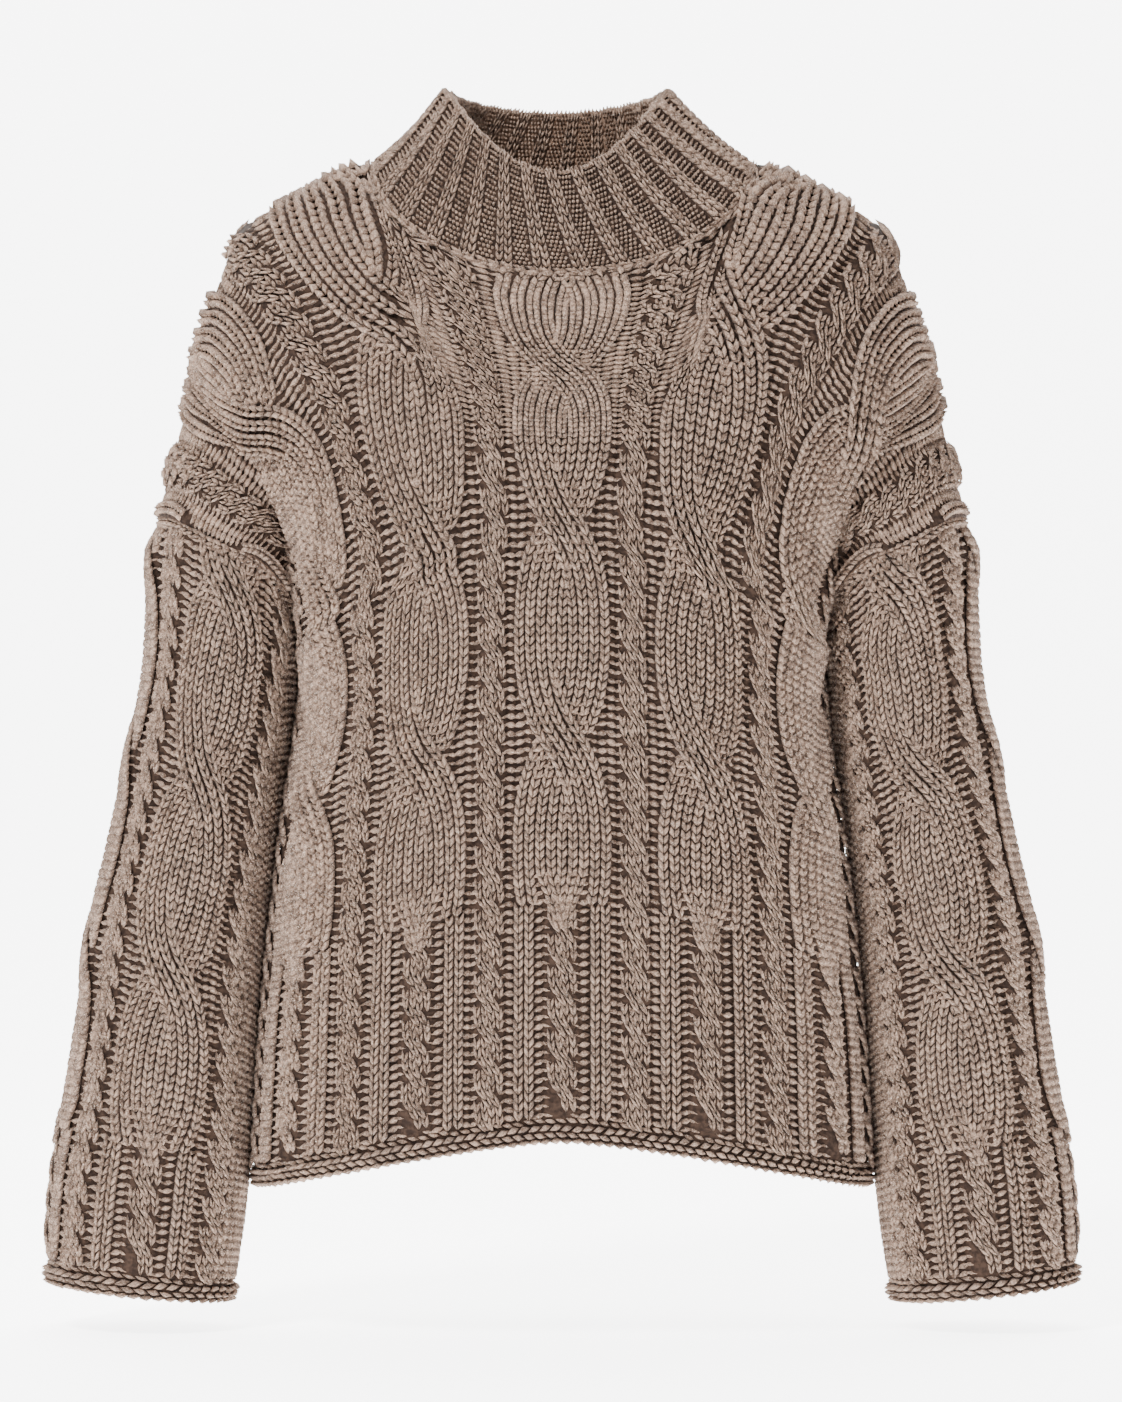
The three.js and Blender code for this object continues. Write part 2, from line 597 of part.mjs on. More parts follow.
const sweater = new THREE.Group();
sweater.add(named('front', front.geometry));
sweater.add(named('back', back.geometry));
sweater.add(named('sleeve_left', makeSleeve(-1, front, back)));
sweater.add(named('sleeve_right', makeSleeve(1, front, back)));
sweater.add(named('collar', makeCollar(front, back)));

export default sweater;
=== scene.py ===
"""Cable knit sweater: the stitches, finishes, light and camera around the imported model.

Each piece of the sweater is a closed sheet of cloth on the surface of its node, with every
visible stitch laid on it as a small plump loop of yarn. Lengths are in metres, and knitting
is placed by wale, counted across in repeats of the stitch pattern, and by height up a piece.
"""

import logging
import math
from dataclasses import dataclass
from enum import Enum
from functools import cached_property
from typing import Callable, Optional, Sequence, Union

import bpy
import numpy as np
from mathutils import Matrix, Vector


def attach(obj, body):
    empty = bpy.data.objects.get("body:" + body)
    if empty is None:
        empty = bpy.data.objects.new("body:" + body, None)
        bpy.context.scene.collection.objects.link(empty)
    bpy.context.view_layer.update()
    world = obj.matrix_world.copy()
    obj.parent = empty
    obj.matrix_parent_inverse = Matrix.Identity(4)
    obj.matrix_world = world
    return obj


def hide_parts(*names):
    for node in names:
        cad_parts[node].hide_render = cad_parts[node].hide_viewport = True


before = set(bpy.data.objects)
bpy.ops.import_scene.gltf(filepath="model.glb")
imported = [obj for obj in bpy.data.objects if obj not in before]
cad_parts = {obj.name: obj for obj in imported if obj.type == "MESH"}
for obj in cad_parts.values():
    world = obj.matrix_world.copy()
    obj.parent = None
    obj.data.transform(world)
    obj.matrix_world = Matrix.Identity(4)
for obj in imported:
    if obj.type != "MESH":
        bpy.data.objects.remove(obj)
LOG = logging.getLogger("sweater")
SEED = 4830
MM = 0.001

Array = np.ndarray
Field = Callable[[np.ndarray, np.ndarray], np.ndarray]
Value = Union[float, tuple, "Socket"]
Colour = Union[tuple, "Socket"]


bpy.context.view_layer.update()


def smooth(start: float, end: float, at: Array) -> Array:
    """Rise from 0 to 1 between two places.

    Args:
        start: Place where it is still 0.
        end: Place where it has reached 1.
        at: Places asked for.

    Returns:
        One value for each place.
    """
    t = np.clip((np.asarray(at, float) - start) / (end - start), 0.0, 1.0)
    return t * t * (3 - 2 * t)


def mix(a: Array, b: Array, share: Array) -> Array:
    """Blend from a to b by a share."""
    return a + (b - a) * share


def unit(vectors: Array) -> Array:
    """Vectors brought to length 1."""
    length = np.linalg.norm(vectors, axis=-1, keepdims=True)
    return vectors / np.maximum(length, 1e-12)


class Side(Enum):
    """Which panel of the body a piece is, by the sign of its Y."""

    FRONT = -1
    BACK = 1


class Hand(Enum):
    """Which arm a sleeve is for, by the sign of its X."""

    LEFT = -1
    RIGHT = 1


class Profile:
    """Measures at a few places, on smooth curves through them."""

    def __init__(self, key: str, names: str, rows: Sequence[Sequence[float]]) -> None:
        """Keep a table of measures.

        Args:
            key: Name of the first column, the place.
            names: Names of all columns, parted by spaces.
            rows: One row of values for each place, in order.
        """
        table = np.array(rows, float)
        self.columns = {name: table[:, i] for i, name in enumerate(names.split())}
        self.sign = 1.0 if table[-1, 0] > table[0, 0] else -1.0
        self.keys = self.columns[key] * self.sign

    def at(self, name: str, place: Array) -> Array:
        """Look a measure up.

        Args:
            name: The column.
            place: Places along the key column.

        Returns:
            One value for each place, held at the table's two ends.
        """
        keys, values = self.keys, self.columns[name]
        wanted = np.asarray(place, float) * self.sign
        b = np.clip(np.searchsorted(keys, wanted), 1, len(keys) - 1)
        a, before, after = b - 1, np.maximum(b - 2, 0), np.minimum(b + 1, len(keys) - 1)
        span = keys[b] - keys[a]
        t = np.clip((wanted - keys[a]) / span, 0.0, 1.0)
        slope_a = (values[b] - values[before]) / (keys[b] - keys[before]) * span
        slope_b = (values[after] - values[a]) / (keys[after] - keys[a]) * span
        t2, t3 = t * t, t * t * t
        return (values[a] * (2 * t3 - 3 * t2 + 1) + values[b] * (3 * t2 - 2 * t3)
                + slope_a * (t3 - 2 * t2 + t) + slope_b * (t3 - t2))


@dataclass(frozen=True)
class Figure:
    """Form that the sweater is filled out to, in millimetres, the same as the solids have."""

    hem_z: float = -571
    hem_drop: float = 33
    hem_curve: float = 1.4
    row_curve: float = 2
    underarm_x: float = 157
    underarm_z: float = -285
    underarm_drop: float = 58
    crown_z: float = 20
    neck_half: float = 114
    neck_z: float = 6
    neck_falls: tuple = (74, 16)
    neck_q: float = 0.88
    neck_bunching: float = 1.4
    repeats: float = 2.75
    trim_from: float = 0.25
    seam_gap: float = 0.3
    body: Profile = Profile("z", "z half front back power", [
        (30, 20, 20, 20, 2), (6, 114, 45, 42, 2), (-14, 157, 66, 60, 2), (-33, 190, 75, 72, 2),
        (-66, 204, 86, 86, 2.1), (-111, 217, 97, 100, 2.2), (-144, 205, 103, 106, 2.3),
        (-180, 180, 106, 108, 2.4), (-207, 167, 107, 108, 2.5), (-240, 160, 108, 106, 2.5),
        (-285, 157, 108, 103, 2.5), (-300, 154.5, 108, 102, 2.5), (-330, 155, 107, 101, 2.5),
        (-373, 162, 106, 100, 2.5), (-422, 168, 104, 99, 2.5), (-514, 177.5, 101, 99, 2.5),
        (-610, 183, 100, 98, 2.5)])
    arm: Profile = Profile("z", "z centre half depth forward", [
        (-60, 168, 36, 0, 0), (-111, 178, 39, 25, 0), (-159, 188, 41, 45, 0),
        (-206, 198.5, 41.5, 52, 0), (-285, 200.8, 43.8, 52, 0), (-300, 203.2, 42.8, 51, 1),
        (-330, 206.5, 44.5, 50, 2), (-362, 212.2, 45.8, 49, 3), (-406, 220, 47.5, 48, 5),
        (-445, 227, 49.5, 48, 6), (-500, 233.2, 50.8, 47, 8), (-556, 239.5, 53.5, 46, 9),
        (-595, 244.8, 56.2, 45, 10), (-627, 248, 56, 44, 10), (-680, 253.5, 53.5, 42, 10)])
    armhole: Profile = Profile("angle", "angle z", [
        (0, -206), (45, -208), (75, -218), (95, -225), (115, -231), (135, -244), (155, -260),
        (180, -285)])
    ridge: tuple = ((0, 20), (60, 16), (114, 6), (157, -14), (190, -33), (204, -66),
                    (217, -111), (228, -159), (240, -206))
    web: tuple = (22, 12, 145, 180, 14)
    cuff_z: float = -667
    cuff_tilt: float = 5.5
    cuff_repeats: float = 4

    def depth(self, side: Side, x: Array, z: Array) -> Array:
        """Distance of the cloth from the middle plane.

        Args:
            side: Panel asked for.
            x: Places across.
            z: Heights.

        Returns:
            One distance for each place.
        """
        across = np.abs(x)
        power = self.body.at("power", z)
        reach = np.minimum(across / self.body.at("half", z), 1.0)
        body = self.body.at(side.name.lower(), z) * (1 - reach ** power) ** (1 / power)
        offset = np.clip((across - self.arm.at("centre", z)) / self.arm.at("half", z), -1, 1)
        arm = self.arm.at("depth", z) * np.sqrt(1 - offset ** 2)
        web_depth, rise, inner, outer, fade = self.web
        near = smooth(inner - fade, inner, across) * (1 - smooth(outer, outer + fade, across))
        low = 1 - smooth(-170, -110, z)
        height = np.maximum(z - self.underarm_z, 0)
        web = web_depth * (1 - np.exp(-height / rise)) * near * low
        return np.cbrt(body ** 3 + arm ** 3 + web ** 3)

    @cached_property
    def ridge_line(self) -> Array:
        """Top line of the shoulder from the middle to the armhole.

        Returns:
            401 points, x and z, evenly by its length.
        """
        line = np.array(self.ridge, float)
        line = np.vstack([2 * line[0] - line[1], line, 2 * line[-1] - line[-2]])
        pieces = []
        t = np.linspace(0, 1, 60, endpoint=False)[:, None]
        for p0, p1, p2, p3 in zip(line, line[1:], line[2:], line[3:]):
            d0, d1, d2 = (math.sqrt(np.linalg.norm(b - a)) for a, b in ((p0, p1), (p1, p2), (p2, p3)))
            m1 = ((p1 - p0) / d0 - (p2 - p0) / (d0 + d1) + (p2 - p1) / d1) * d1
            m2 = ((p2 - p1) / d1 - (p3 - p1) / (d1 + d2) + (p3 - p2) / d2) * d1
            pieces.append(p1 * (2 * t**3 - 3 * t**2 + 1) + m1 * (t**3 - 2 * t**2 + t)
                          + p2 * (3 * t**2 - 2 * t**3) + m2 * (t**3 - t**2))
        points = np.vstack([*pieces, line[-2:-1]])
        return resampled(points, np.linspace(0, 1, 401))

    def armhole_point(self, angle: Array) -> tuple:
        """Armhole seam at an angle round the arm, in degrees, as x and z."""
        z = self.armhole.at("z", angle)
        half = self.arm.at("half", z)
        return self.arm.at("centre", z) + half * np.cos(np.radians(angle)), z

    def drawn(self, s: Array, t: Array) -> tuple:
        """Right half of a panel's drawing.

        Args:
            s: From 0 in the middle to 1 at the edge.
            t: Below 0 for the body under the arms and above 0 for the shoulders.

        Returns:
            The places x and z.
        """
        s, t = np.broadcast_arrays(np.asarray(s, float), np.asarray(t, float))
        down = np.clip(-t, 0, 1)
        middle = mix(self.underarm_z + self.underarm_drop, self.hem_z, down)
        drop = mix(self.underarm_drop, self.hem_drop, down)
        x_low = self.body.at("half", middle - drop) * s
        z_low = middle - drop * s ** mix(self.row_curve, self.hem_curve, down)
        top = np.clip(t, 0, 1)
        ridge = self.ridge_line
        steps = np.linspace(0, 1, len(ridge))
        high_x, high_z = np.interp(s, steps, ridge[:, 0]), np.interp(s, steps, ridge[:, 1])
        edge_x, edge_z = self.armhole_point(180 * (1 - top))
        end_x, end_z = self.ridge[-1]
        base_z = self.underarm_z + self.underarm_drop * (1 - s ** self.row_curve)
        x_top = (mix(self.underarm_x * s, high_x, top)
                 + s * (edge_x - mix(self.underarm_x, end_x, top)))
        z_top = mix(base_z, high_z, top) + s * (edge_z - mix(self.underarm_z, end_z, top))
        return np.where(t <= 0, x_low, x_top), np.where(t <= 0, z_low, z_top)

    def on_cloth(self, side: Side, s: Array, t: Array) -> Array:
        """Points of a panel's cloth for places on its drawing."""
        x, z = self.drawn(s, t)
        y = np.where(np.asarray(t) < 1, self.depth(side, x, z), 0) + self.seam_gap / 2
        return np.stack([x, side.value * y, z], axis=-1)

    def neckline(self, side: Side, x: Array) -> Array:
        """Height of the neckline over places across."""
        fall = self.neck_falls[0 if side is Side.FRONT else 1]
        reach = np.minimum(np.abs(x) / self.neck_half, 1)
        return self.neck_z - fall * np.sqrt(1 - reach ** 2)

    def wale_top(self, side: Side, s: Array) -> Array:
        """Where each wale of a row ends, at the neckline or at the shoulder line.

        Args:
            side: Panel asked for.
            s: Places along the row.

        Returns:
            The t value of each end.
        """
        low, high = np.zeros_like(s), np.ones_like(s)
        for _ in range(24):
            middle = (low + high) / 2
            x, z = self.drawn(s, middle)
            over = z > self.neckline(side, x)
            low, high = np.where(over, low, middle), np.where(over, middle, high)
        ends_x, _ = self.drawn(s, np.ones_like(s))
        return np.where(ends_x >= self.neck_half, 1.0, low)

    def neckline_end(self, side: Side, q: Array) -> Array:
        """Points where the wales that end at the neckline meet it."""
        bunched = (np.abs(q) / self.neck_q) ** self.neck_bunching
        x = self.neck_half * np.sin(math.pi / 2 * np.minimum(bunched, 1))
        z = self.neckline(side, x)
        y = np.where(np.abs(q) < self.neck_q, self.depth(side, x, z), 0) + self.seam_gap / 2
        return np.stack([np.sign(q) * x, side.value * y, z], axis=-1)

    def on_arm(self, hand: Hand, angle: Array, z: Array) -> Array:
        """Points of an arm for angles round it and heights."""
        reach = self.arm.at("centre", z) + self.arm.at("half", z) * np.cos(angle)
        y = -self.arm.at("depth", z) * np.sin(angle) - self.arm.at("forward", z)
        return np.stack([hand.value * reach, y, z], axis=-1)


def resampled(points: Array, shares: Array) -> Array:
    """Points of a line at shares of its length.

    Args:
        points: The line.
        shares: Shares from 0 to 1.

    Returns:
        One point for each share.
    """
    steps = np.linalg.norm(np.diff(points, axis=0), axis=1)
    along = np.concatenate([[0], np.cumsum(steps)])
    wanted = np.asarray(shares) * along[-1]
    return np.stack([np.interp(wanted, along, points[:, i]) for i in range(points.shape[1])], axis=-1)


def evened(points: Array, window: int) -> Array:
    """Slide the points of a line along it, so that their spacing changes softly.

    Args:
        points: The line.
        window: Number of steps over which the spacing is averaged, an odd number.

    Returns:
        As many points, with the same ends.
    """
    steps = np.linalg.norm(np.diff(points, axis=0), axis=1)
    soft = steps
    for _ in range(2):
        padded = np.concatenate([soft[window // 2:0:-1], soft, soft[-2:-window // 2 - 1:-1]])
        soft = np.convolve(padded, np.full(window, 1 / window), "valid")
    along, wanted = (np.concatenate([[0], np.cumsum(part)]) for part in (steps, soft))
    wanted *= along[-1] / wanted[-1]
    return np.stack([np.interp(wanted, along, points[:, axis]) for axis in range(3)], axis=-1)


@dataclass(frozen=True)
class Fold:
    """Soft uneven trough between two ridges, from one wale place and height to another."""

    start: tuple
    end: tuple
    width: float
    depth: float

    def height(self, across: Array, up: Array, repeat: float) -> Array:
        """Height of the fold over places of the cloth.

        Args:
            across: Wale places.
            up: Heights up the piece.
            repeat: Width of one repeat, in millimetres.

        Returns:
            Heights in millimetres, below 0 in the trough.
        """
        a = np.array([self.start[0] * repeat, self.start[1]])
        b = np.array([self.end[0] * repeat, self.end[1]])
        way = b - a
        length = float(np.linalg.norm(way))
        x, y = across * repeat - a[0], up - a[1]
        along = (x * way[0] + y * way[1]) / length ** 2
        aside = (x * way[1] - y * way[0]) / length
        aside = aside + self.width * 0.35 * np.sin(along * 4.1 + self.start[1])
        ends = smooth(-0.35, 0.25, along) * (1 - smooth(0.7, 1.35, along))
        uneven = 0.8 + 0.2 * np.sin(along * 7.3 + self.end[1])
        t = (aside / self.width) ** 2
        return -self.depth * (1 - t) * np.exp(-t) * ends * uneven


class Chart:
    """Surface of one piece, as a grid of points over height and wale."""

    def __init__(self, up: Array, across: Array, points: Array, wraps: bool, outward: float) -> None:
        """Keep the grid and work out its outward directions.

        Args:
            up: Height of each row, in millimetres up the piece.
            across: Wale place of each column; on a tube the last one repeats the first.
            points: Grid of points, in millimetres.
            wraps: Whether it is a tube.
            outward: 1 or -1, so that the directions point out of the cloth.
        """
        self.up, self.across, self.points, self.wraps = up, across, points, wraps
        along = np.gradient(points, axis=0)
        if wraps:
            padded = np.concatenate([points[:, -2:-1], points, points[:, 1:2]], axis=1)
            over = padded[:, 2:] - padded[:, :-2]
        else:
            over = np.gradient(points, axis=1)
        self.normals = unit(np.cross(over, along)) * outward

    def crease(self, folds: Sequence["Fold"], repeat: float) -> None:
        """Press soft folds into the cloth.

        Args:
            folds: The folds.
            repeat: Width of one repeat of the pattern, in millimetres.
        """
        across, up = np.meshgrid(self.across, self.up)
        for fold in folds:
            self.points = self.points + self.normals * fold.height(across, up, repeat)[..., None]

    def at(self, across: Array, up: Array) -> tuple:
        """Points and outward directions of the cloth.

        Args:
            across: Wale places.
            up: Heights up the piece.

        Returns:
            Points in millimetres and unit directions.
        """
        across, up = np.broadcast_arrays(np.asarray(across, float), np.asarray(up, float))
        if self.wraps:
            start, span = self.across[0], self.across[-1] - self.across[0]
            across = start + np.mod(across - start, span)
        c = np.clip(np.searchsorted(self.across, across) - 1, 0, len(self.across) - 2)
        r = np.clip(np.searchsorted(self.up, up) - 1, 0, len(self.up) - 2)
        x = np.clip((across - self.across[c]) / (self.across[c + 1] - self.across[c]), 0, 1)[..., None]
        y = np.clip((up - self.up[r]) / (self.up[r + 1] - self.up[r]), 0, 1)[..., None]
        found = []
        for grid in (self.points, self.normals):
            low = mix(grid[r, c], grid[r, c + 1], x)
            high = mix(grid[r + 1, c], grid[r + 1, c + 1], x)
            found.append(mix(low, high, y))
        return found[0], unit(found[1])


class Charts:
    """Makes the surfaces of the sweater's pieces from its figure."""

    def __init__(self, figure: Figure, collar_cut: "CollarCut") -> None:
        """Keep the figure and the collar's sizes."""
        self.figure = figure
        self.collar_cut = collar_cut

    def panel(self, side: Side, rows: int = 100, columns: int = 116) -> Chart:
        """Surface of the front or back panel.

        Args:
            side: Which panel.
            rows: Steps up it.
            columns: Steps across it, an even number.

        Returns:
            Its chart, with wales from -2.75 to 2.75 repeats.
        """
        fig = self.figure
        half_q = np.linspace(0, fig.repeats, columns // 2 + 1)
        lower = fig.underarm_z + fig.underarm_drop - fig.hem_z
        upper = fig.crown_z - fig.underarm_z - fig.underarm_drop
        up = np.linspace(0, lower + upper, rows + 1)
        grid = []
        samples = np.linspace(0, 1, 161)
        for height in up:
            t = (height - lower) / (lower if height <= lower else upper)
            line = fig.on_cloth(side, samples, np.full_like(samples, t))
            steps = np.concatenate([[0], np.cumsum(np.linalg.norm(np.diff(line, axis=0), axis=1))])
            s = np.interp(half_q / fig.repeats * steps[-1], steps, samples)
            if t > fig.trim_from:
                top = fig.wale_top(side, s)
                share = (t - fig.trim_from) / (1 - fig.trim_from)
                row = fig.on_cloth(side, s, mix(fig.trim_from, top, share))
                ends = fig.neckline_end(side, half_q)
                close = (half_q <= fig.neck_q)[:, None] * smooth(0.9, 1, share)
                row = mix(row, ends, close)
                row = mix(row, evened(row, 15), smooth(0, 0.3, share) * (1 - smooth(0.86, 1, share)))
            else:
                row = fig.on_cloth(side, s, np.full_like(s, t))
            mirrored = row[:0:-1] * [-1, 1, 1]
            grid.append(np.vstack([mirrored, row]))
        across = np.concatenate([-half_q[:0:-1], half_q])
        return Chart(up, across, np.array(grid), False, 1.0 if side is Side.FRONT else -1.0)

    def sleeve(self, hand: Hand, front: Chart, back: Chart, rows: int = 84, columns: int = 96) -> Chart:
        """Surface of a sleeve, from its cuff up to the armhole seam.

        Args:
            hand: Which arm.
            front: The front panel's chart.
            back: The back panel's chart.
            rows: Steps up it.
            columns: Steps round it, an even number.

        Returns:
            Its chart, with wales from -2 to 2 repeats, 0 outside and 1 at the front.
        """
        fig = self.figure
        edge = 0 if hand is Hand.LEFT else -1
        first = int(np.searchsorted(front.up, fig.underarm_z + fig.underarm_drop - fig.hem_z))
        shares = np.linspace(0, 1, columns // 2 + 1)
        front_edge = resampled(front.points[first:, edge], shares)
        back_edge = resampled(back.points[first:, edge], shares)
        ends = (front_edge[[0, -1]] + back_edge[[0, -1]]) / 2
        front_edge[[0, -1]] = ends
        seam = np.vstack([ends[:1], back_edge[1:-1], ends[1:], front_edge[1:-1][::-1], ends[:1]])
        angle = np.linspace(-math.pi, math.pi, columns + 1)
        length = abs(fig.cuff_z - ends[1, 2])
        grid = []
        for f in np.linspace(1, 0, rows + 1):
            z = mix(seam[:, 2], fig.cuff_z + fig.cuff_tilt * np.cos(angle), f)
            shift = seam - fig.on_arm(hand, angle, seam[:, 2])
            grid.append(fig.on_arm(hand, angle, z) + shift * (1 - f) ** 8)
        across = angle / (2 * math.pi) * fig.cuff_repeats
        up = np.linspace(0, length, rows + 1)
        return Chart(up, across, np.array(grid), True, -float(hand.value))

    def collar(self, front: Chart, back: Chart, rows: int = 16, columns: int = 224) -> Chart:
        """Surface of the collar, from the neckline up to its top edge.

        Args:
            front: The front panel's chart.
            back: The back panel's chart.
            rows: Steps up it.
            columns: Steps round it.

        Returns:
            Its chart, with places counted in ribs from the right shoulder round the back.
        """
        cut = self.collar_cut
        near = np.abs(front.across) <= self.figure.neck_q + 1e-6
        loop = np.vstack([back.points[-1][near][::-1], front.points[-1][near]])
        facing = np.vstack([back.normals[-1][near][::-1], front.normals[-1][near]])
        loop, facing = np.vstack([loop, loop[:1]]), np.vstack([facing, facing[:1]])
        shares = np.linspace(0, 1, columns + 1)
        both = resampled(np.hstack([loop, facing * 0.01]), shares)
        base, normal = both[:, :3], unit(both[:, 3:])
        ahead = np.roll(base[:-1], -1, axis=0) - np.roll(base[:-1], 1, axis=0)
        ahead = np.vstack([ahead, ahead[:1]])
        base = base + unit(np.cross(normal, ahead)) * cut.gap
        angle = np.linspace(0, 2 * math.pi, 721)
        turn_c, turn_s = np.cos(angle), np.sin(angle)
        depth = np.where(turn_s < 0, cut.top_front, cut.top_back)
        end = np.where(turn_s < 0, cut.front_z, cut.back_z)
        rim = np.stack([cut.lean + cut.top_half * turn_c, depth * turn_s,
                        mix(cut.side_z, end, turn_s ** 2)], axis=-1)
        rim = resampled(rim, shares)
        grid = []
        for f in np.linspace(0, 1, rows + 1):
            row = mix(base, rim, f)
            row[:, 2] -= cut.swell * math.sin(math.pi * f)
            grid.append(row)
        points = np.array(grid)
        height = float(np.linalg.norm(points[-1] - points[0], axis=-1).mean())
        return Chart(np.linspace(0, height, rows + 1), shares * cut.ribs, points, True, 1.0)


@dataclass(frozen=True)
class CollarCut:
    """Sizes of the collar, in millimetres."""

    ribs: int = 28
    gap: float = 0.6
    top_half: float = 66
    lean: float = -3.5
    top_front: float = 60
    top_back: float = 56
    side_z: float = 50
    front_z: float = -4
    back_z: float = 43
    swell: float = 3
    wall: float = 3.6


@dataclass(frozen=True)
class CableRhythm:
    """Heights of the crossings up a piece, and of the split under the lowest one."""

    split: float
    first: float
    pitch: float

    def from_crossing(self, up: Array) -> Array:
        """Distance to the nearest crossing, in pitches."""
        phase = (up - self.first) / self.pitch
        return np.abs(phase - np.round(phase))


@dataclass(frozen=True)
class Pattern:
    """Heights and widths of the raised knitting, in repeats across and millimetres out."""

    wide_half: float = 0.34
    wide_waist: float = 0.21
    wide_high: float = 5.0
    wide_edge: float = 0.07
    wide_span: tuple = (0.04, 0.36)
    wide_crown: float = 0.7
    wide_legs: float = -0.9
    wide_over: float = 2.3
    wide_under: float = -1.4
    wide_hidden: float = 0.15
    wide_plump: float = 1.05
    rope_half: float = 0.12
    rope_high: float = 4.5
    rib_place: float = 0.26
    rib_half: float = 0.07
    rib_high: float = 3.4
    rib_legs: float = -0.4
    rib_wale: float = 0.93
    roll_height: float = 12.0
    roll_high: float = 3.5
    roll_start: float = 0.15
    roll_rows: tuple = (0.0, 0.34, 0.68, 1.0)
    roll_lean: float = 2.4
    wall: float = 3.0
    sunk: float = 1.6
    crest_sunk: float = 0.7
    deepest: float = -0.7
    course: float = 5.2
    wale: float = 0.0756
    rope_pitch: float = 18.5
    rope_swing: float = 0.052
    rope_wale: float = 0.052
    rope_reach: float = 0.9
    rope_stitches: int = 6
    rope_legs: float = -2.4
    rope_arch: float = 2.7
    rope_arch_span: tuple = (0.1, 0.95)
    rope_plump: float = 1.08
    cross_length: float = 0.26
    slant: float = 0.72
    roundness: float = 2.6
    least_half: float = 1.0
    least_course: float = 1.6
    split_gather: float = 0.42
    split_rise: float = 24.0
    split_from: float = -6.0
    split_courses: float = 2.6
    split_sunk: float = 1.8
    split_span: tuple = (-10, 8)
    split_rope: float = 7.0
    wide_wales: int = 9
    over_wales: int = 4
    gutters: tuple = (0.418, 0.352, 0.286, 0.22, 0.154, 0.088)
    rib_gutters: tuple = (0, 1, 4, 5)
    filled_gutters: tuple = (4, 5)
    filled_near: float = 0.18
    filled_lift: float = 3.2
    gutter_clear: float = 0.012
    gutter_lean: float = 2.2

    def half_width(self, up: Array, cable: CableRhythm) -> Array:
        """Half the width of a wide cable at heights, in repeats."""
        return mix(self.wide_waist, self.wide_half, smooth(*self.wide_span, cable.from_crossing(up)))

    def relief(self, q: Array, up: Array, cable: CableRhythm) -> Array:
        """Height of the broad forms of the knitting over plain cloth.

        Args:
            q: Wale places.
            up: Heights up the piece.
            cable: Where the crossings are.

        Returns:
            Heights in millimetres.
        """
        wide = np.abs(q - np.round(q))
        rope = np.abs(wide - 0.5)

        def bump(offset: Array, half: float, high: float) -> Array:
            """Round bump of half a width and a height."""
            return high * np.sqrt(np.clip(1 - (offset / half) ** 2, 0, 1))

        half = self.half_width(up, cable)
        crossed = self.wide_high * (1 - smooth(-self.wide_edge, self.wide_edge, wide - half))
        ribs = bump(wide - self.rib_place, self.rib_half, self.rib_high)
        middle = bump(wide, self.rope_half + 0.01, self.rope_high)
        broad = np.where(up < cable.split, np.maximum(ribs, middle), crossed)
        return np.maximum(broad, bump(rope, self.rope_half, self.rope_high))

    def with_roll(self, up: Array, high: Array) -> Array:
        """Height of the rolled edge at the bottom of a piece, and above it the height given."""
        roll = self.roll_high * np.sin(math.pi * np.clip(up / self.roll_height, self.roll_start, 1))
        return np.where(up < self.roll_height, roll, high)


@dataclass(frozen=True)
class Loop:
    """Form of one loop of yarn, as shares of its length, width and height, and its faces."""

    start_high: float = 0.2
    rise_at: float = 0.24
    flank_at: float = 0.46
    flank_aside: float = 0.56
    flank_sunk: float = 0.8
    fall_at: float = 0.68
    end_high: float = 0.9
    sway: tuple = (0.16, 0.12)
    widths: tuple = (0.92, 1.1)
    faces: tuple = ((0, 2, 1), (0, 3, 2), (1, 2, 4), (3, 4, 2), (1, 4, 5), (3, 5, 4), (0, 1, 3), (1, 5, 3))


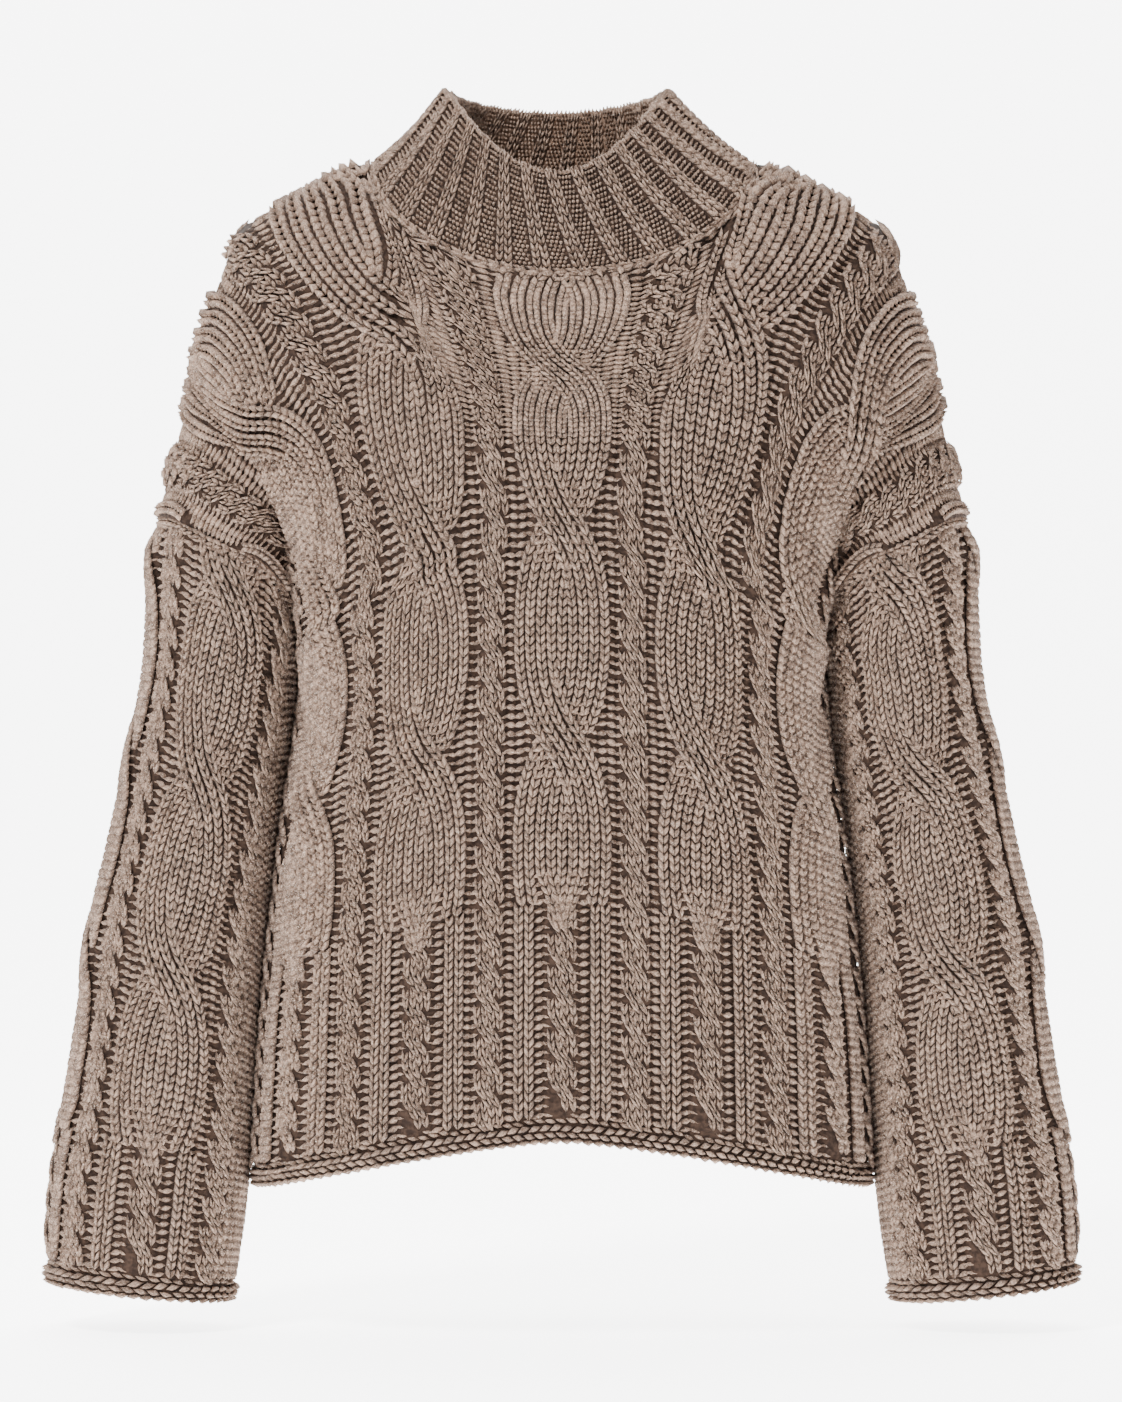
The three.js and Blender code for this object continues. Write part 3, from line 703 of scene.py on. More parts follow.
class Yarn:
    """Many small plump loops of yarn, gathered into one mesh."""

    def __init__(self, rng: np.random.Generator) -> None:
        """Start with no loops.

        Args:
            rng: Source of the small unevenness.
        """
        self.rng, self.loop = rng, Loop()
        self.parts: list = []

    def lay(self, start: Array, end: Array, out: Array, width: Array, high: Array) -> None:
        """Lay loops from start points to end points.

        Args:
            start: Where each begins.
            end: Where each ends.
            out: Direction out of the cloth at each.
            width: Width of each, in millimetres.
            high: How far each stands out.
        """
        count = len(start)
        if count == 0:
            return
        loop = self.loop
        width = np.broadcast_to(np.asarray(width, float), (count,))[:, None]
        high = np.broadcast_to(np.asarray(high, float), (count,))[:, None]
        along = end - start
        beside = unit(np.cross(along, out))
        aside, outward = (self.rng.normal(0, spread, (count, 1)) for spread in loop.sway)
        sway = aside * beside + outward * out
        width = width * self.rng.uniform(*loop.widths, (count, 1))
        flank = start + along * loop.flank_at + sway - out * high * loop.flank_sunk
        corners = [start + out * high * loop.start_high,
                   flank - beside * width * loop.flank_aside,
                   start + along * loop.rise_at + sway + out * high,
                   flank + beside * width * loop.flank_aside,
                   start + along * loop.fall_at + sway + out * high * loop.end_high,
                   end - out * high * loop.end_high]
        tone = self.rng.uniform(0, 1, (count, 1))
        self.parts.append((np.stack(corners, axis=1), np.repeat(tone, len(corners), axis=1)))

    def mesh(self, name: str) -> bpy.types.Object:
        """Make one object of all the loops.

        Args:
            name: Name of the object.

        Returns:
            The object, with a vector attribute "yarn": across, along and tone of each loop.
        """
        loop = self.loop
        points, tone = (np.concatenate(part) for part in zip(*self.parts))
        count, corners = tone.shape
        shift = (np.arange(count) * corners)[:, None, None]
        faces = (np.array(loop.faces)[None] + shift).reshape(-1, 3)
        across = np.tile([0.5, 0.0, 0.5, 1.0, 0.5, 0.5], (count, 1))
        along = np.tile([0.0, loop.flank_at, loop.rise_at, loop.flank_at, loop.fall_at, 1.0], (count, 1))
        made = solid_mesh(name, points.reshape(-1, 3) * MM, faces)
        values = np.stack([across, along, tone], axis=-1).reshape(-1)
        made.data.attributes.new("yarn", "FLOAT_VECTOR", "POINT").data.foreach_set("vector", values)
        return made


def solid_mesh(name: str, points: Array, faces: Array) -> bpy.types.Object:
    """Make a smooth-shaded object from arrays.

    Args:
        name: Name of the object.
        points: Its vertices, in metres.
        faces: Its faces, all with the same number of corners.

    Returns:
        The object, linked to the scene.
    """
    mesh = bpy.data.meshes.new(name)
    count, corners = faces.shape
    mesh.vertices.add(len(points))
    mesh.vertices.foreach_set("co", np.asarray(points, np.float32).reshape(-1))
    mesh.loops.add(count * corners)
    mesh.loops.foreach_set("vertex_index", faces.reshape(-1).astype(np.int32))
    mesh.polygons.add(count)
    mesh.polygons.foreach_set("loop_start", (np.arange(count) * corners).astype(np.int32))
    mesh.polygons.foreach_set("use_smooth", np.ones(count, bool))
    mesh.update(calc_edges=True)
    mesh.validate()
    return linked(name, mesh)


def linked(name: str, data: bpy.types.ID) -> bpy.types.Object:
    """Make an object of some data and link it to the scene."""
    made = bpy.data.objects.new(name, data)
    bpy.context.scene.collection.objects.link(made)
    return made


@dataclass(frozen=True)
class Stitch:
    """How the legs of a V and the purl bumps lie, as shares of a stitch or in millimetres."""

    leg_start: float = 0.34
    leg_end: float = 1.16
    leg_inner: float = 0.10
    leg_outer: float = 0.86
    halves: tuple = (1.2, 6.0)
    usual_half: float = 3.0
    fuller: float = 0.06
    course_share: float = 0.8
    high: float = 0.62
    purl_reach: float = 0.76
    purl_longest: float = 7.0
    purl_uneven: float = 0.25
    purl_high: float = 2.0


class Knitter:
    """Lays the stitches of one piece on its surface."""

    def __init__(self, chart: Chart, pattern: Pattern, cable: CableRhythm, seed: int,
                 fade: Field, turn: int = 1) -> None:
        """Keep what the stitches are laid on.

        Args:
            chart: Surface of the piece.
            pattern: Sizes of the knitting.
            cable: Where its cables cross.
            seed: Seed of the small unevenness.
            fade: Share of the relief left at wale places and heights, less towards a seam.
            turn: -1 where wale places run from right to left, seen from outside.
        """
        self.chart, self.pattern, self.cable, self.fade, self.turn = chart, pattern, cable, fade, turn
        self.stitch = Stitch()
        self.rng = np.random.default_rng(seed)
        self.raised, self.low = Yarn(self.rng), Yarn(self.rng)

    def place(self, q: Array, up: Array, lift: Array) -> tuple:
        """Points of the knitting and the directions out of it.

        Args:
            q: Wale places.
            up: Heights up the piece.
            lift: Heights over plain cloth, in millimetres.

        Returns:
            Points and unit directions.
        """
        points, out = self.chart.at(q * self.turn, up)
        return points + out * (lift * self.fade(q * self.turn, up))[..., None], out

    def knit(self, yarn: Yarn, q: Array, up: Array, lift: Array, wide: float,
             shown: Optional[Array] = None, plump: float = 1.0) -> None:
        """Lay one wale of V shaped stitches along a path.

        Args:
            yarn: Where the loops go.
            q: Wale places of the path, one more than its stitches.
            up: Heights of the path.
            lift: Heights over plain cloth.
            wide: Width of the wale in repeats.
            shown: Which stitches can be seen; all of them by default.
            plump: Width of each loop against half the wale.
        """
        stitch = self.stitch
        points, out = self.place(q, up, lift)
        beside, _ = self.place(q + wide / 2, up, lift)
        step = points[1:] - points[:-1]
        centre, facing = points[:-1], unit(out[1:] + out[:-1])
        ahead = unit(step)
        side = unit(np.cross(ahead, facing))
        across = (beside - points)[:-1]
        half = np.linalg.norm(across - (across * ahead).sum(-1, keepdims=True) * ahead, axis=-1)
        length = np.linalg.norm(step, axis=-1)
        keep = (half > self.pattern.least_half) & (length > self.pattern.least_course)
        if shown is not None:
            keep &= shown
        half = np.clip(half, *stitch.halves)
        width = half * plump * (1 + stitch.fuller * (half - stitch.usual_half))
        high = np.minimum(half, length * stitch.course_share) * stitch.high
        for hand in (-1, 1):
            reach = (half * hand)[:, None] * side
            start = centre - step * stitch.leg_start + reach * stitch.leg_inner
            end = centre + step * stitch.leg_end + reach * stitch.leg_outer
            yarn.lay(start[keep], end[keep], facing[keep], width[keep], high[keep])

    def purl(self, q: float, up: Array, wide: float, shown: Array, lean: float = 0.0,
             thick: float = 4.2, lift: float = 0.1) -> None:
        """Lay one wale of level purl bumps.

        Args:
            q: Wale place.
            up: Heights of its stitches.
            wide: Width of the wale in repeats.
            shown: Which stitches can be seen.
            lean: How much higher its right end is, in millimetres.
            thick: Height of each bump, in millimetres.
            lift: Height over plain cloth, in millimetres.
        """
        stitch, up = self.stitch, up[shown]
        if len(up) == 0:
            return
        tilt = self.rng.normal(lean, stitch.purl_uneven, len(up)) / 2
        half, lifts = wide * stitch.purl_reach, np.full_like(up, lift)
        left, out = self.place(np.full_like(up, q - half), up - tilt, lifts)
        right, _ = self.place(np.full_like(up, q + half), up + tilt, lifts)
        middle, reach = (left + right) / 2, (right - left) / 2
        length = np.linalg.norm(reach, axis=1, keepdims=True)
        reach *= np.minimum(1, stitch.purl_longest / np.maximum(length, 0.1))
        self.low.lay(middle - reach, middle + reach, out, thick, stitch.purl_high)

    def wide_cable(self, middle: float, courses: Array, limit: float) -> None:
        """Knit a wide cable whose left wales cross over its right ones, and what is under it.

        Args:
            middle: Wale place of its middle.
            courses: Heights of the course lines.
            limit: Furthest wale place that has knitting.
        """
        pattern, cable = self.pattern, self.cable
        first = math.floor((cable.split - cable.first) / cable.pitch)
        last = math.ceil((courses[-1] - cable.first) / cable.pitch)
        for number in range(first, last):
            low, high = (cable.first + cable.pitch * n for n in (number, number + 1))
            bottom = max(low - 0.1, cable.split - pattern.split_courses * pattern.course)
            levels = courses[(courses >= bottom) & (courses <= high + pattern.course)]
            if len(levels) > 1:
                self.cable_part(middle, low, high, levels, limit)
        lower = courses[(courses >= pattern.roll_height - 1) & (courses < cable.split + pattern.course)]
        lift = np.full_like(lower, pattern.rib_high + pattern.rib_legs)
        for place in (-pattern.rib_place, pattern.rib_place):
            for wale in (-0.5, 0.5):
                q = middle + place + wale * pattern.wale * pattern.rib_wale
                if abs(q) < limit:
                    self.knit(self.raised, np.full_like(lower, q), lower, lift,
                              pattern.wale * pattern.rib_wale)
        self.rope(middle, lower[0], cable.split + pattern.split_rope, limit)

    def cable_part(self, middle: float, low: float, high: float, levels: Array, limit: float) -> None:
        """Knit a wide cable from one crossing up to the next.

        Args:
            middle: Wale place of its middle.
            low: Height of the crossing below.
            high: Height of the crossing above.
            levels: Heights of its course lines.
            limit: Furthest wale place that has knitting.
        """
        pattern = self.pattern
        count, over, wale = pattern.wide_wales, pattern.over_wales, pattern.wale
        signed = np.minimum(levels - low, high - levels) / self.cable.pitch
        near = np.abs(signed)
        rest = np.clip(1 - 2 * near, 0, 1)
        ribbon = wale * np.sqrt(1 + (pattern.slant * rest ** (pattern.roundness - 1)) ** 2)
        away = np.sign(signed) * (1 - rest ** pattern.roundness)
        half = (count - over) / 2 * wale * away + over / 2 * ribbon
        lower = levels - low < high - levels
        left_wale, right_wale = np.where(lower, ribbon, wale), np.where(lower, wale, ribbon)
        left = [-half + (i + 0.5) * left_wale for i in range(count)]
        right = [half - (count - i - 0.5) * right_wale for i in range(count)]
        hump = 1 - smooth(0.03, pattern.cross_length, near)
        above = levels - self.cable.split
        gather = mix(pattern.split_gather, 1.0, smooth(pattern.split_from, pattern.split_rise, above))
        for slot in range(count):
            q = np.where(lower, left[slot] if slot < over else right[slot],
                         right[slot] if slot > over else left[slot])
            on_top = np.where(lower, slot < over, slot > over)
            gap = np.where(lower, q - left[over - 1], right[over + 1] - q)
            hidden = ~on_top & (gap < -ribbon * pattern.wide_hidden)
            inner = 1 < slot < count - 2
            if inner:
                q = q * gather
            crown = pattern.wide_crown * (1 - (q / half) ** 2)
            crossed = hump * np.where(on_top, pattern.wide_over, pattern.wide_under)
            lift = pattern.wide_high + pattern.wide_legs + crown + crossed
            lift = lift - pattern.split_sunk * (1 - smooth(*pattern.split_span, above)) * inner
            shown = ~hidden[:-1] & (np.abs(middle + q[:-1]) < limit) & (levels[:-1] < high)
            shown &= (above[:-1] > -0.1) | inner
            self.knit(self.raised, middle + q, levels, lift, wale, shown, pattern.wide_plump)

    def rope(self, middle: float, low: float, high: float, limit: float) -> None:
        """Knit a rope of two wales over two, its upper strand always from left to lower right.

        Args:
            middle: Wale place of its middle.
            low: Height where it starts.
            high: Height where it ends.
            limit: Furthest wale place that has knitting.
        """
        pattern = self.pattern
        pitch = pattern.rope_pitch
        share = np.linspace(-pattern.rope_reach, pattern.rope_reach, pattern.rope_stitches + 1)
        offset = pattern.rope_swing * (2 * smooth(-0.5, 0.5, share) - 1)
        arch = 1 - smooth(*pattern.rope_arch_span, np.abs(share))
        lift = pattern.rope_high + pattern.rope_legs + pattern.rope_arch * arch
        first = int(math.ceil((low - self.cable.first) / pitch))
        for number in range(first, first + int((high - low) / pitch) + 2):
            up = self.cable.first + (number - share) * pitch
            keep = (up > low - 1) & (up < high + 1)
            for wale in (-0.5, 0.5):
                q = middle + offset + wale * pattern.rope_wale
                shown = keep[:-1] & keep[1:] & (np.abs(q[:-1]) < limit)
                self.knit(self.raised, q[::-1], up[::-1], lift[::-1], pattern.rope_wale, shown[::-1],
                          pattern.rope_plump)

    def gutters(self, middle: float, courses: Array, limit: float) -> None:
        """Lay the purl wales on both sides of a wide cable.

        Args:
            middle: Wale place of the cable's middle.
            courses: Heights of the course lines.
            limit: Furthest wale place that has knitting.
        """
        pattern = self.pattern
        half = pattern.half_width(courses, self.cable)
        above = courses >= self.cable.split
        crossing = self.cable.from_crossing(courses) < pattern.filled_near
        roll = courses >= pattern.roll_height - 1
        filled = above & (crossing | (courses < self.cable.split + pattern.split_rise))
        for side in (-1, 1):
            for number, place in enumerate(pattern.gutters):
                clear_above = above & (place > half - pattern.gutter_clear)
                clear_below = ~above & roll & (number in pattern.rib_gutters)
                q, lean = middle + side * place, pattern.gutter_lean * (-1) ** number
                if abs(q) >= limit:
                    continue
                self.purl(q, courses, pattern.wale, clear_above | clear_below, lean)
                if number in pattern.filled_gutters:
                    self.purl(q, courses, pattern.wale, filled, lean, lift=pattern.filled_lift)

    def seam_ridge(self, up: float, count: int, high: float = 1.6) -> None:
        """Lay the chain of a picked-up edge round a tube, as two rows of slanting loops.

        Args:
            up: Its height up the piece.
            count: Number of loops in a row.
            high: How far it stands out.
        """
        edges = np.linspace(self.chart.across[0], self.chart.across[-1], count + 1)[:-1]
        step = edges[1] - edges[0]
        for side in (-1, 1):
            start, out = self.chart.at(edges, np.full(count, up + side * 3.2))
            end, _ = self.chart.at(edges + step * 1.35, np.full(count, up + side * 0.2))
            self.low.lay(start + out * high * 0.6, end + out * high * 1.2, out, 3.2, 2.0)

    def top_edge(self, up: float, count: int, wall: float) -> None:
        """Lay plump loops over the top edge of a tube, from its outer to its inner face.

        Args:
            up: Height of the edge.
            count: Number of loops round it.
            wall: Thickness of the cloth.
        """
        q = np.linspace(self.chart.across[0], self.chart.across[-1], count + 1)[:-1]
        low, out = self.chart.at(q, np.full(count, up - 5.0))
        top, _ = self.chart.at(q, np.full(count, up))
        rise = unit(top - low)
        swell = 1.1 + 1.1 * np.cos(2 * math.pi * (q - 0.125))[:, None]
        crest = top + rise * (1.2 + swell * 0.5) - out * wall / 2
        outside, inside = top + out * (swell + 0.6) - rise * 3.0, top - out * (wall + 1.0) - rise * 3.0
        self.raised.lay(outside, crest + out * 0.4, unit(out + rise * 0.8), 3.0, 2.0)
        self.raised.lay(crest, inside, unit(rise - out * 0.6), 3.0, 2.0)

    def rolled_edge(self, low_q: float, high_q: float, count: int) -> None:
        """Lay the plump level loops of a rolled cast-on edge.

        Args:
            low_q: Wale place where it starts.
            high_q: Wale place where it ends.
            count: Number of loops along it.
        """
        pattern = self.pattern
        edges = np.linspace(low_q, high_q, count + 1)
        step = edges[1] - edges[0]
        for number, share in enumerate(pattern.roll_rows):
            lift = pattern.roll_high * math.sin(math.pi * min(max(share, 0.2), 1)) + 0.4
            lean = pattern.roll_lean * (-1) ** number
            shift = step * 0.5 * (number % 2)
            middle = np.clip(edges[:-1] + step / 2 + shift, low_q + step / 2, high_q - step / 2)
            up = share * pattern.roll_height * self.rng.uniform(0.94, 1.06, count)
            start, out = self.place(middle - step * 0.62, up - lean / 2, np.full(count, lift))
            end, _ = self.place(middle + step * 0.62, up + lean / 2, np.full(count, lift - 0.5))
            self.low.lay(start, end, out, 3.7, 2.4)


class Finish:
    """Base of the finishes: one material with a node tree made in code."""

    def __init__(self, name: str) -> None:
        """Start a material.

        Args:
            name: Name of the material.
        """
        self.material = bpy.data.materials.new(name)
        self.material.use_nodes = True
        self.tree = self.material.node_tree
        self.shader = self.tree.nodes["Principled BSDF"]

    def node(self, kind: str, settings: Optional[dict] = None, **inputs: Value) -> bpy.types.Node:
        """Add a node.

        Args:
            kind: Its type.
            settings: Properties to set on it.
            **inputs: Values or sockets for its inputs, with _ for a space.

        Returns:
            The node.
        """
        made = self.tree.nodes.new(kind)
        for key, value in (settings or {}).items():
            setattr(made, key, value)
        for key, value in inputs.items():
            self.join(value, made.inputs[key.replace("_", " ")])
        return made

    def join(self, value: Value, target: bpy.types.NodeSocket) -> None:
        """Link or set an input."""
        if isinstance(value, Socket):
            self.tree.links.new(value.output, target)
        else:
            target.default_value = value

    def colour_between(self, dark: Colour, light: Colour, share: "Socket") -> "Socket":
        """Blend two colours.

        Args:
            dark: Colour at 0.
            light: Colour at 1.
            share: Share of the second.

        Returns:
            The blended colour.
        """
        made = self.node("ShaderNodeMix", {"data_type": "RGBA"})
        for index, value in ((0, share), (6, dark), (7, light)):
            self.join((*value, 1) if isinstance(value, tuple) else value, made.inputs[index])
        return Socket(self, made.outputs[2])

    def settle(self, **inputs: Value) -> None:
        """Set or link inputs of the shader, with _ for a space in their names."""
        for key, value in inputs.items():
            self.join(value, self.shader.inputs[key.replace("_", " ")])

    def three(self, source: bpy.types.NodeSocket) -> list:
        """Part a vector output into its three values."""
        parts = self.node("ShaderNodeSeparateXYZ", Vector=Socket(self, source))
        return [Socket(self, parts.outputs[i]) for i in range(3)]

    def place(self) -> bpy.types.NodeSocket:
        """Output that gives the place in the object."""
        return self.node("ShaderNodeTexCoord").outputs["Object"]

    def noise(self, scale: float, detail: float = 2.0) -> "Socket":
        """Even noise in the object's own place.

        Args:
            scale: Its fineness, per metre.
            detail: Its detail.

        Returns:
            The value, about 0.5.
        """
        place = Socket(self, self.place())
        made = self.node("ShaderNodeTexNoise", Scale=scale, Detail=detail, Vector=place)
        return Socket(self, made.outputs["Fac"])

    def bump(self, height: "Socket", depth: float) -> None:
        """Give the surface a fine relief.

        Args:
            height: Relief from 0 to 1.
            depth: Depth of it in metres.
        """
        made = self.node("ShaderNodeBump", Strength=1.0, Distance=depth, Height=height)
        self.settle(Normal=Socket(self, made.outputs["Normal"]))


class Socket:
    """Output of a shader node that is reckoned with like a number."""

    def __init__(self, finish: Finish, output: bpy.types.NodeSocket) -> None:
        """Keep the output and its finish."""
        self.finish, self.output = finish, output

    def maths(self, operation: str, *others: Value) -> "Socket":
        """Result of a maths node on this value and others."""
        made = self.finish.node("ShaderNodeMath", {"operation": operation})
        for value, target in zip((self, *others), made.inputs):
            self.finish.join(value, target)
        return Socket(self.finish, made.outputs[0])

    def __add__(self, other: Value) -> "Socket":
        """Sum."""
        return self.maths("ADD", other)

    def __sub__(self, other: Value) -> "Socket":
        """Difference."""
        return self.maths("SUBTRACT", other)

    def __mul__(self, other: Value) -> "Socket":
        """Product."""
        return self.maths("MULTIPLY", other)

    __radd__, __rmul__ = __add__, __mul__

    def sine(self) -> "Socket":
        """Sine of the value in radians."""
        return self.maths("SINE")

    def between(self, low: float, high: float) -> "Socket":
        """Smooth rise from 0 at low to 1 at high."""
        made = self.finish.node("ShaderNodeMapRange", {"interpolation_type": "SMOOTHSTEP"},
                                Value=self, From_Min=low, From_Max=high)
        return Socket(self.finish, made.outputs[0])


@dataclass(frozen=True)
class Wool:
    """Colours of the melange wool, linear, the painted shade of the gaps and of the loops' sides, and how it
    takes the light.
    """

    light: tuple = (0.37, 0.247, 0.179)
    middle: tuple = (0.19, 0.122, 0.086)
    dark: tuple = (0.072, 0.04, 0.026)
    # Painted shade: colours of the gaps between the loops; the lighter one also darkens each loop's sides.
    painted_shade: tuple = (0.036, 0.021, 0.0145)
    painted_deep_shade: tuple = (0.015, 0.0085, 0.006)
    # Light flecks of the melange, made brighter so they also stand in for painted highlights.
    fleck_and_highlight: tuple = (0.95, 0.82, 0.71)
    fleck_and_highlight_share: float = 0.75
    loop_side_shade_share: float = 0.55
    roughness: float = 0.92
    sheen: float = 0.06
    sheen_roughness: float = 0.6
    shine: float = 0.15


class LoopFinish(Finish):
    """Wool of the raised loops, each with its own tone, bright flecks that stand in part for painted
    highlights, painted shade on its sides and a two-ply twist.
    """

    twist_along: float = 13.0
    twist_across: float = 4.4
    relief: float = 0.0007

    def __init__(self, wool: Wool) -> None:
        """Make the finish.

        Args:
            wool: Colours of the wool.
        """
        super().__init__("melange wool loops")
        yarn = self.node("ShaderNodeAttribute", {"attribute_name": "yarn"}).outputs["Vector"]
        across, along, tone = self.three(yarn)
        heather = self.noise(900, 3).between(0.36, 0.66)
        mottle = self.noise(160, 2).between(0.3, 0.7)
        share = heather * 0.45 + tone * 0.3 + mottle * 0.25
        colour = self.colour_between(wool.dark, wool.light, share.between(0.02, 0.98))
        # Light flecks of the melange, brightened as painted highlights.
        fleck_and_highlight = self.noise(2100, 1).between(0.6, 0.74) * wool.fleck_and_highlight_share
        colour = self.colour_between(colour, wool.fleck_and_highlight, fleck_and_highlight)
        # Painted shade: each loop darkens towards its two sides, where it tucks under its neighbours.
        edge = (across - 0.5).maths("ABSOLUTE").between(0.30, 0.52) * wool.loop_side_shade_share
        colour = self.colour_between(colour, wool.painted_shade, edge)
        twist = (along * self.twist_along + across * self.twist_across).sine() * 0.5 + 0.5
        fuzz = self.noise(2600, 3)
        self.bump(twist * 0.55 + fuzz * 0.8, self.relief)
        self.settle(Base_Color=colour, Roughness=wool.roughness, Specular_IOR_Level=wool.shine,
                    Sheen_Weight=wool.sheen, Sheen_Roughness=wool.sheen_roughness)


class GroundFinish(Finish):
    """Painted shade: near-black wool colour in the gaps between the loops, and the plain inside of the
    cloth.
    """

    rows_per_metre: float = 1200.0
    wales_per_metre: float = 950.0
    roughness: float = 0.95

    def __init__(self, name: str, wool: Wool, inside: bool) -> None:
        """Make the finish.

        Args:
            name: Name of the material.
            wool: Colours of the wool.
            inside: Whether it is the lit inside, not the gaps painted near-black as shade.
        """
        super().__init__(name)
        grain = self.noise(330, 3).between(0.35, 0.65)
        # Outside, the gaps take the painted shade colours, near-black.
        low, high = (wool.dark, wool.middle) if inside else (wool.painted_deep_shade, wool.painted_shade)
        x, y, z = self.three(self.place())
        x_wave, y_wave = ((value * self.wales_per_metre).sine() * 0.8 for value in (x, y))
        rows = (z * self.rows_per_metre + x_wave + y_wave).sine() * 0.5 + 0.5
        self.bump(rows * 0.7 + grain * 0.5, 0.0012 if inside else 0.0008)
        self.settle(Base_Color=self.colour_between(low, high, grain), Roughness=self.roughness,
                    Specular_IOR_Level=wool.shine, Sheen_Weight=wool.sheen if inside else 0.0)


@dataclass(frozen=True)
class Cut:
    width: float
    length: float


class Piece:
    """One knitted piece: its closed sheet of cloth, with its outer face painted dark as the shade between
    the loops, and the loops laid on it.
    """

    def __init__(self, node: str, chart: Chart, cut: Cut, finishes: dict) -> None:
        """Keep what the piece is made from.

        Args:
            node: Name of the solid it stands for.
            chart: Its surface.
            cut: Its flat cut; kept, but not used.
            finishes: Finishes by name.
        """
        self.node, self.chart, self.cut, self.finishes = node, chart, cut, finishes

    def shell(self, relief: Field, wall: float) -> None:
        """Make the closed sheet, with its outer face in the painted shade of the gaps.

        Args:
            relief: Height of its outer face over plain cloth at wale places and heights.
            wall: Thickness of plain cloth, in millimetres.
        """
        chart = self.chart
        columns = len(chart.across) - (1 if chart.wraps else 0)
        across, up = np.meshgrid(chart.across[:columns], chart.up)
        points, normals = chart.points[:, :columns], chart.normals[:, :columns]
        outer = points + normals * relief(across, up)[..., None]
        inner = points - normals * wall
        rows = len(chart.up)
        index = np.arange(rows * columns).reshape(rows, columns)
        right = np.roll(index, -1, axis=1) if chart.wraps else index[:, 1:]
        left = index if chart.wraps else index[:, :-1]
        face = np.stack([left[:-1], right[:-1], right[1:], left[1:]], axis=-1).reshape(-1, 4)
        total = rows * columns
        rims = [np.stack([right[0], left[0], left[0] + total, right[0] + total], axis=-1),
                np.stack([left[-1], right[-1], right[-1] + total, left[-1] + total], axis=-1)]
        if not chart.wraps:
            low, high = index[:-1, 0], index[1:, 0]
            rims.append(np.stack([low, high, high + total, low + total], axis=-1))
            low, high = index[:-1, -1], index[1:, -1]
            rims.append(np.stack([high, low, low + total, high + total], axis=-1))
        faces = np.vstack([face, face[:, ::-1] + total, *rims])
        sample = np.cross(outer[0, 1] - outer[0, 0], outer[1, 0] - outer[0, 0])
        if float(sample @ normals[0, 0]) < 0:
            faces = faces[:, ::-1]
        both = np.vstack([outer.reshape(-1, 3), inner.reshape(-1, 3)]) * MM
        self.cloth = solid_mesh(f"{self.node}_cloth", both, faces)
        # The outer face takes the painted shade of the gaps; the inner face and the rims take the inside
        # wool.
        for finish in ("gaps", "inside"):
            self.cloth.data.materials.append(self.finishes[finish].material)
        slots = (np.arange(len(faces)) >= len(face)).astype(np.int32)
        self.cloth.data.polygons.foreach_set("material_index", slots)

    def dress(self, **yarns: Yarn) -> None:
        """Add the loops, hide the solid that the piece stands for, and attach the piece to the root.

        Args:
            **yarns: Loops that go with the piece, each under the name of its object.
        """
        loops = [yarn.mesh(f"{self.node}_{name}") for name, yarn in yarns.items()]
        for made in loops:
            made.data.materials.append(self.finishes["loops"].material)
        for made in (self.cloth, *loops):
            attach(made, "root")
        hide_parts(self.node)
        LOG.info("%s: faces of the cloth %d, of the loops %s", self.node, len(self.cloth.data.polygons),
                 [len(made.data.polygons) for made in loops])


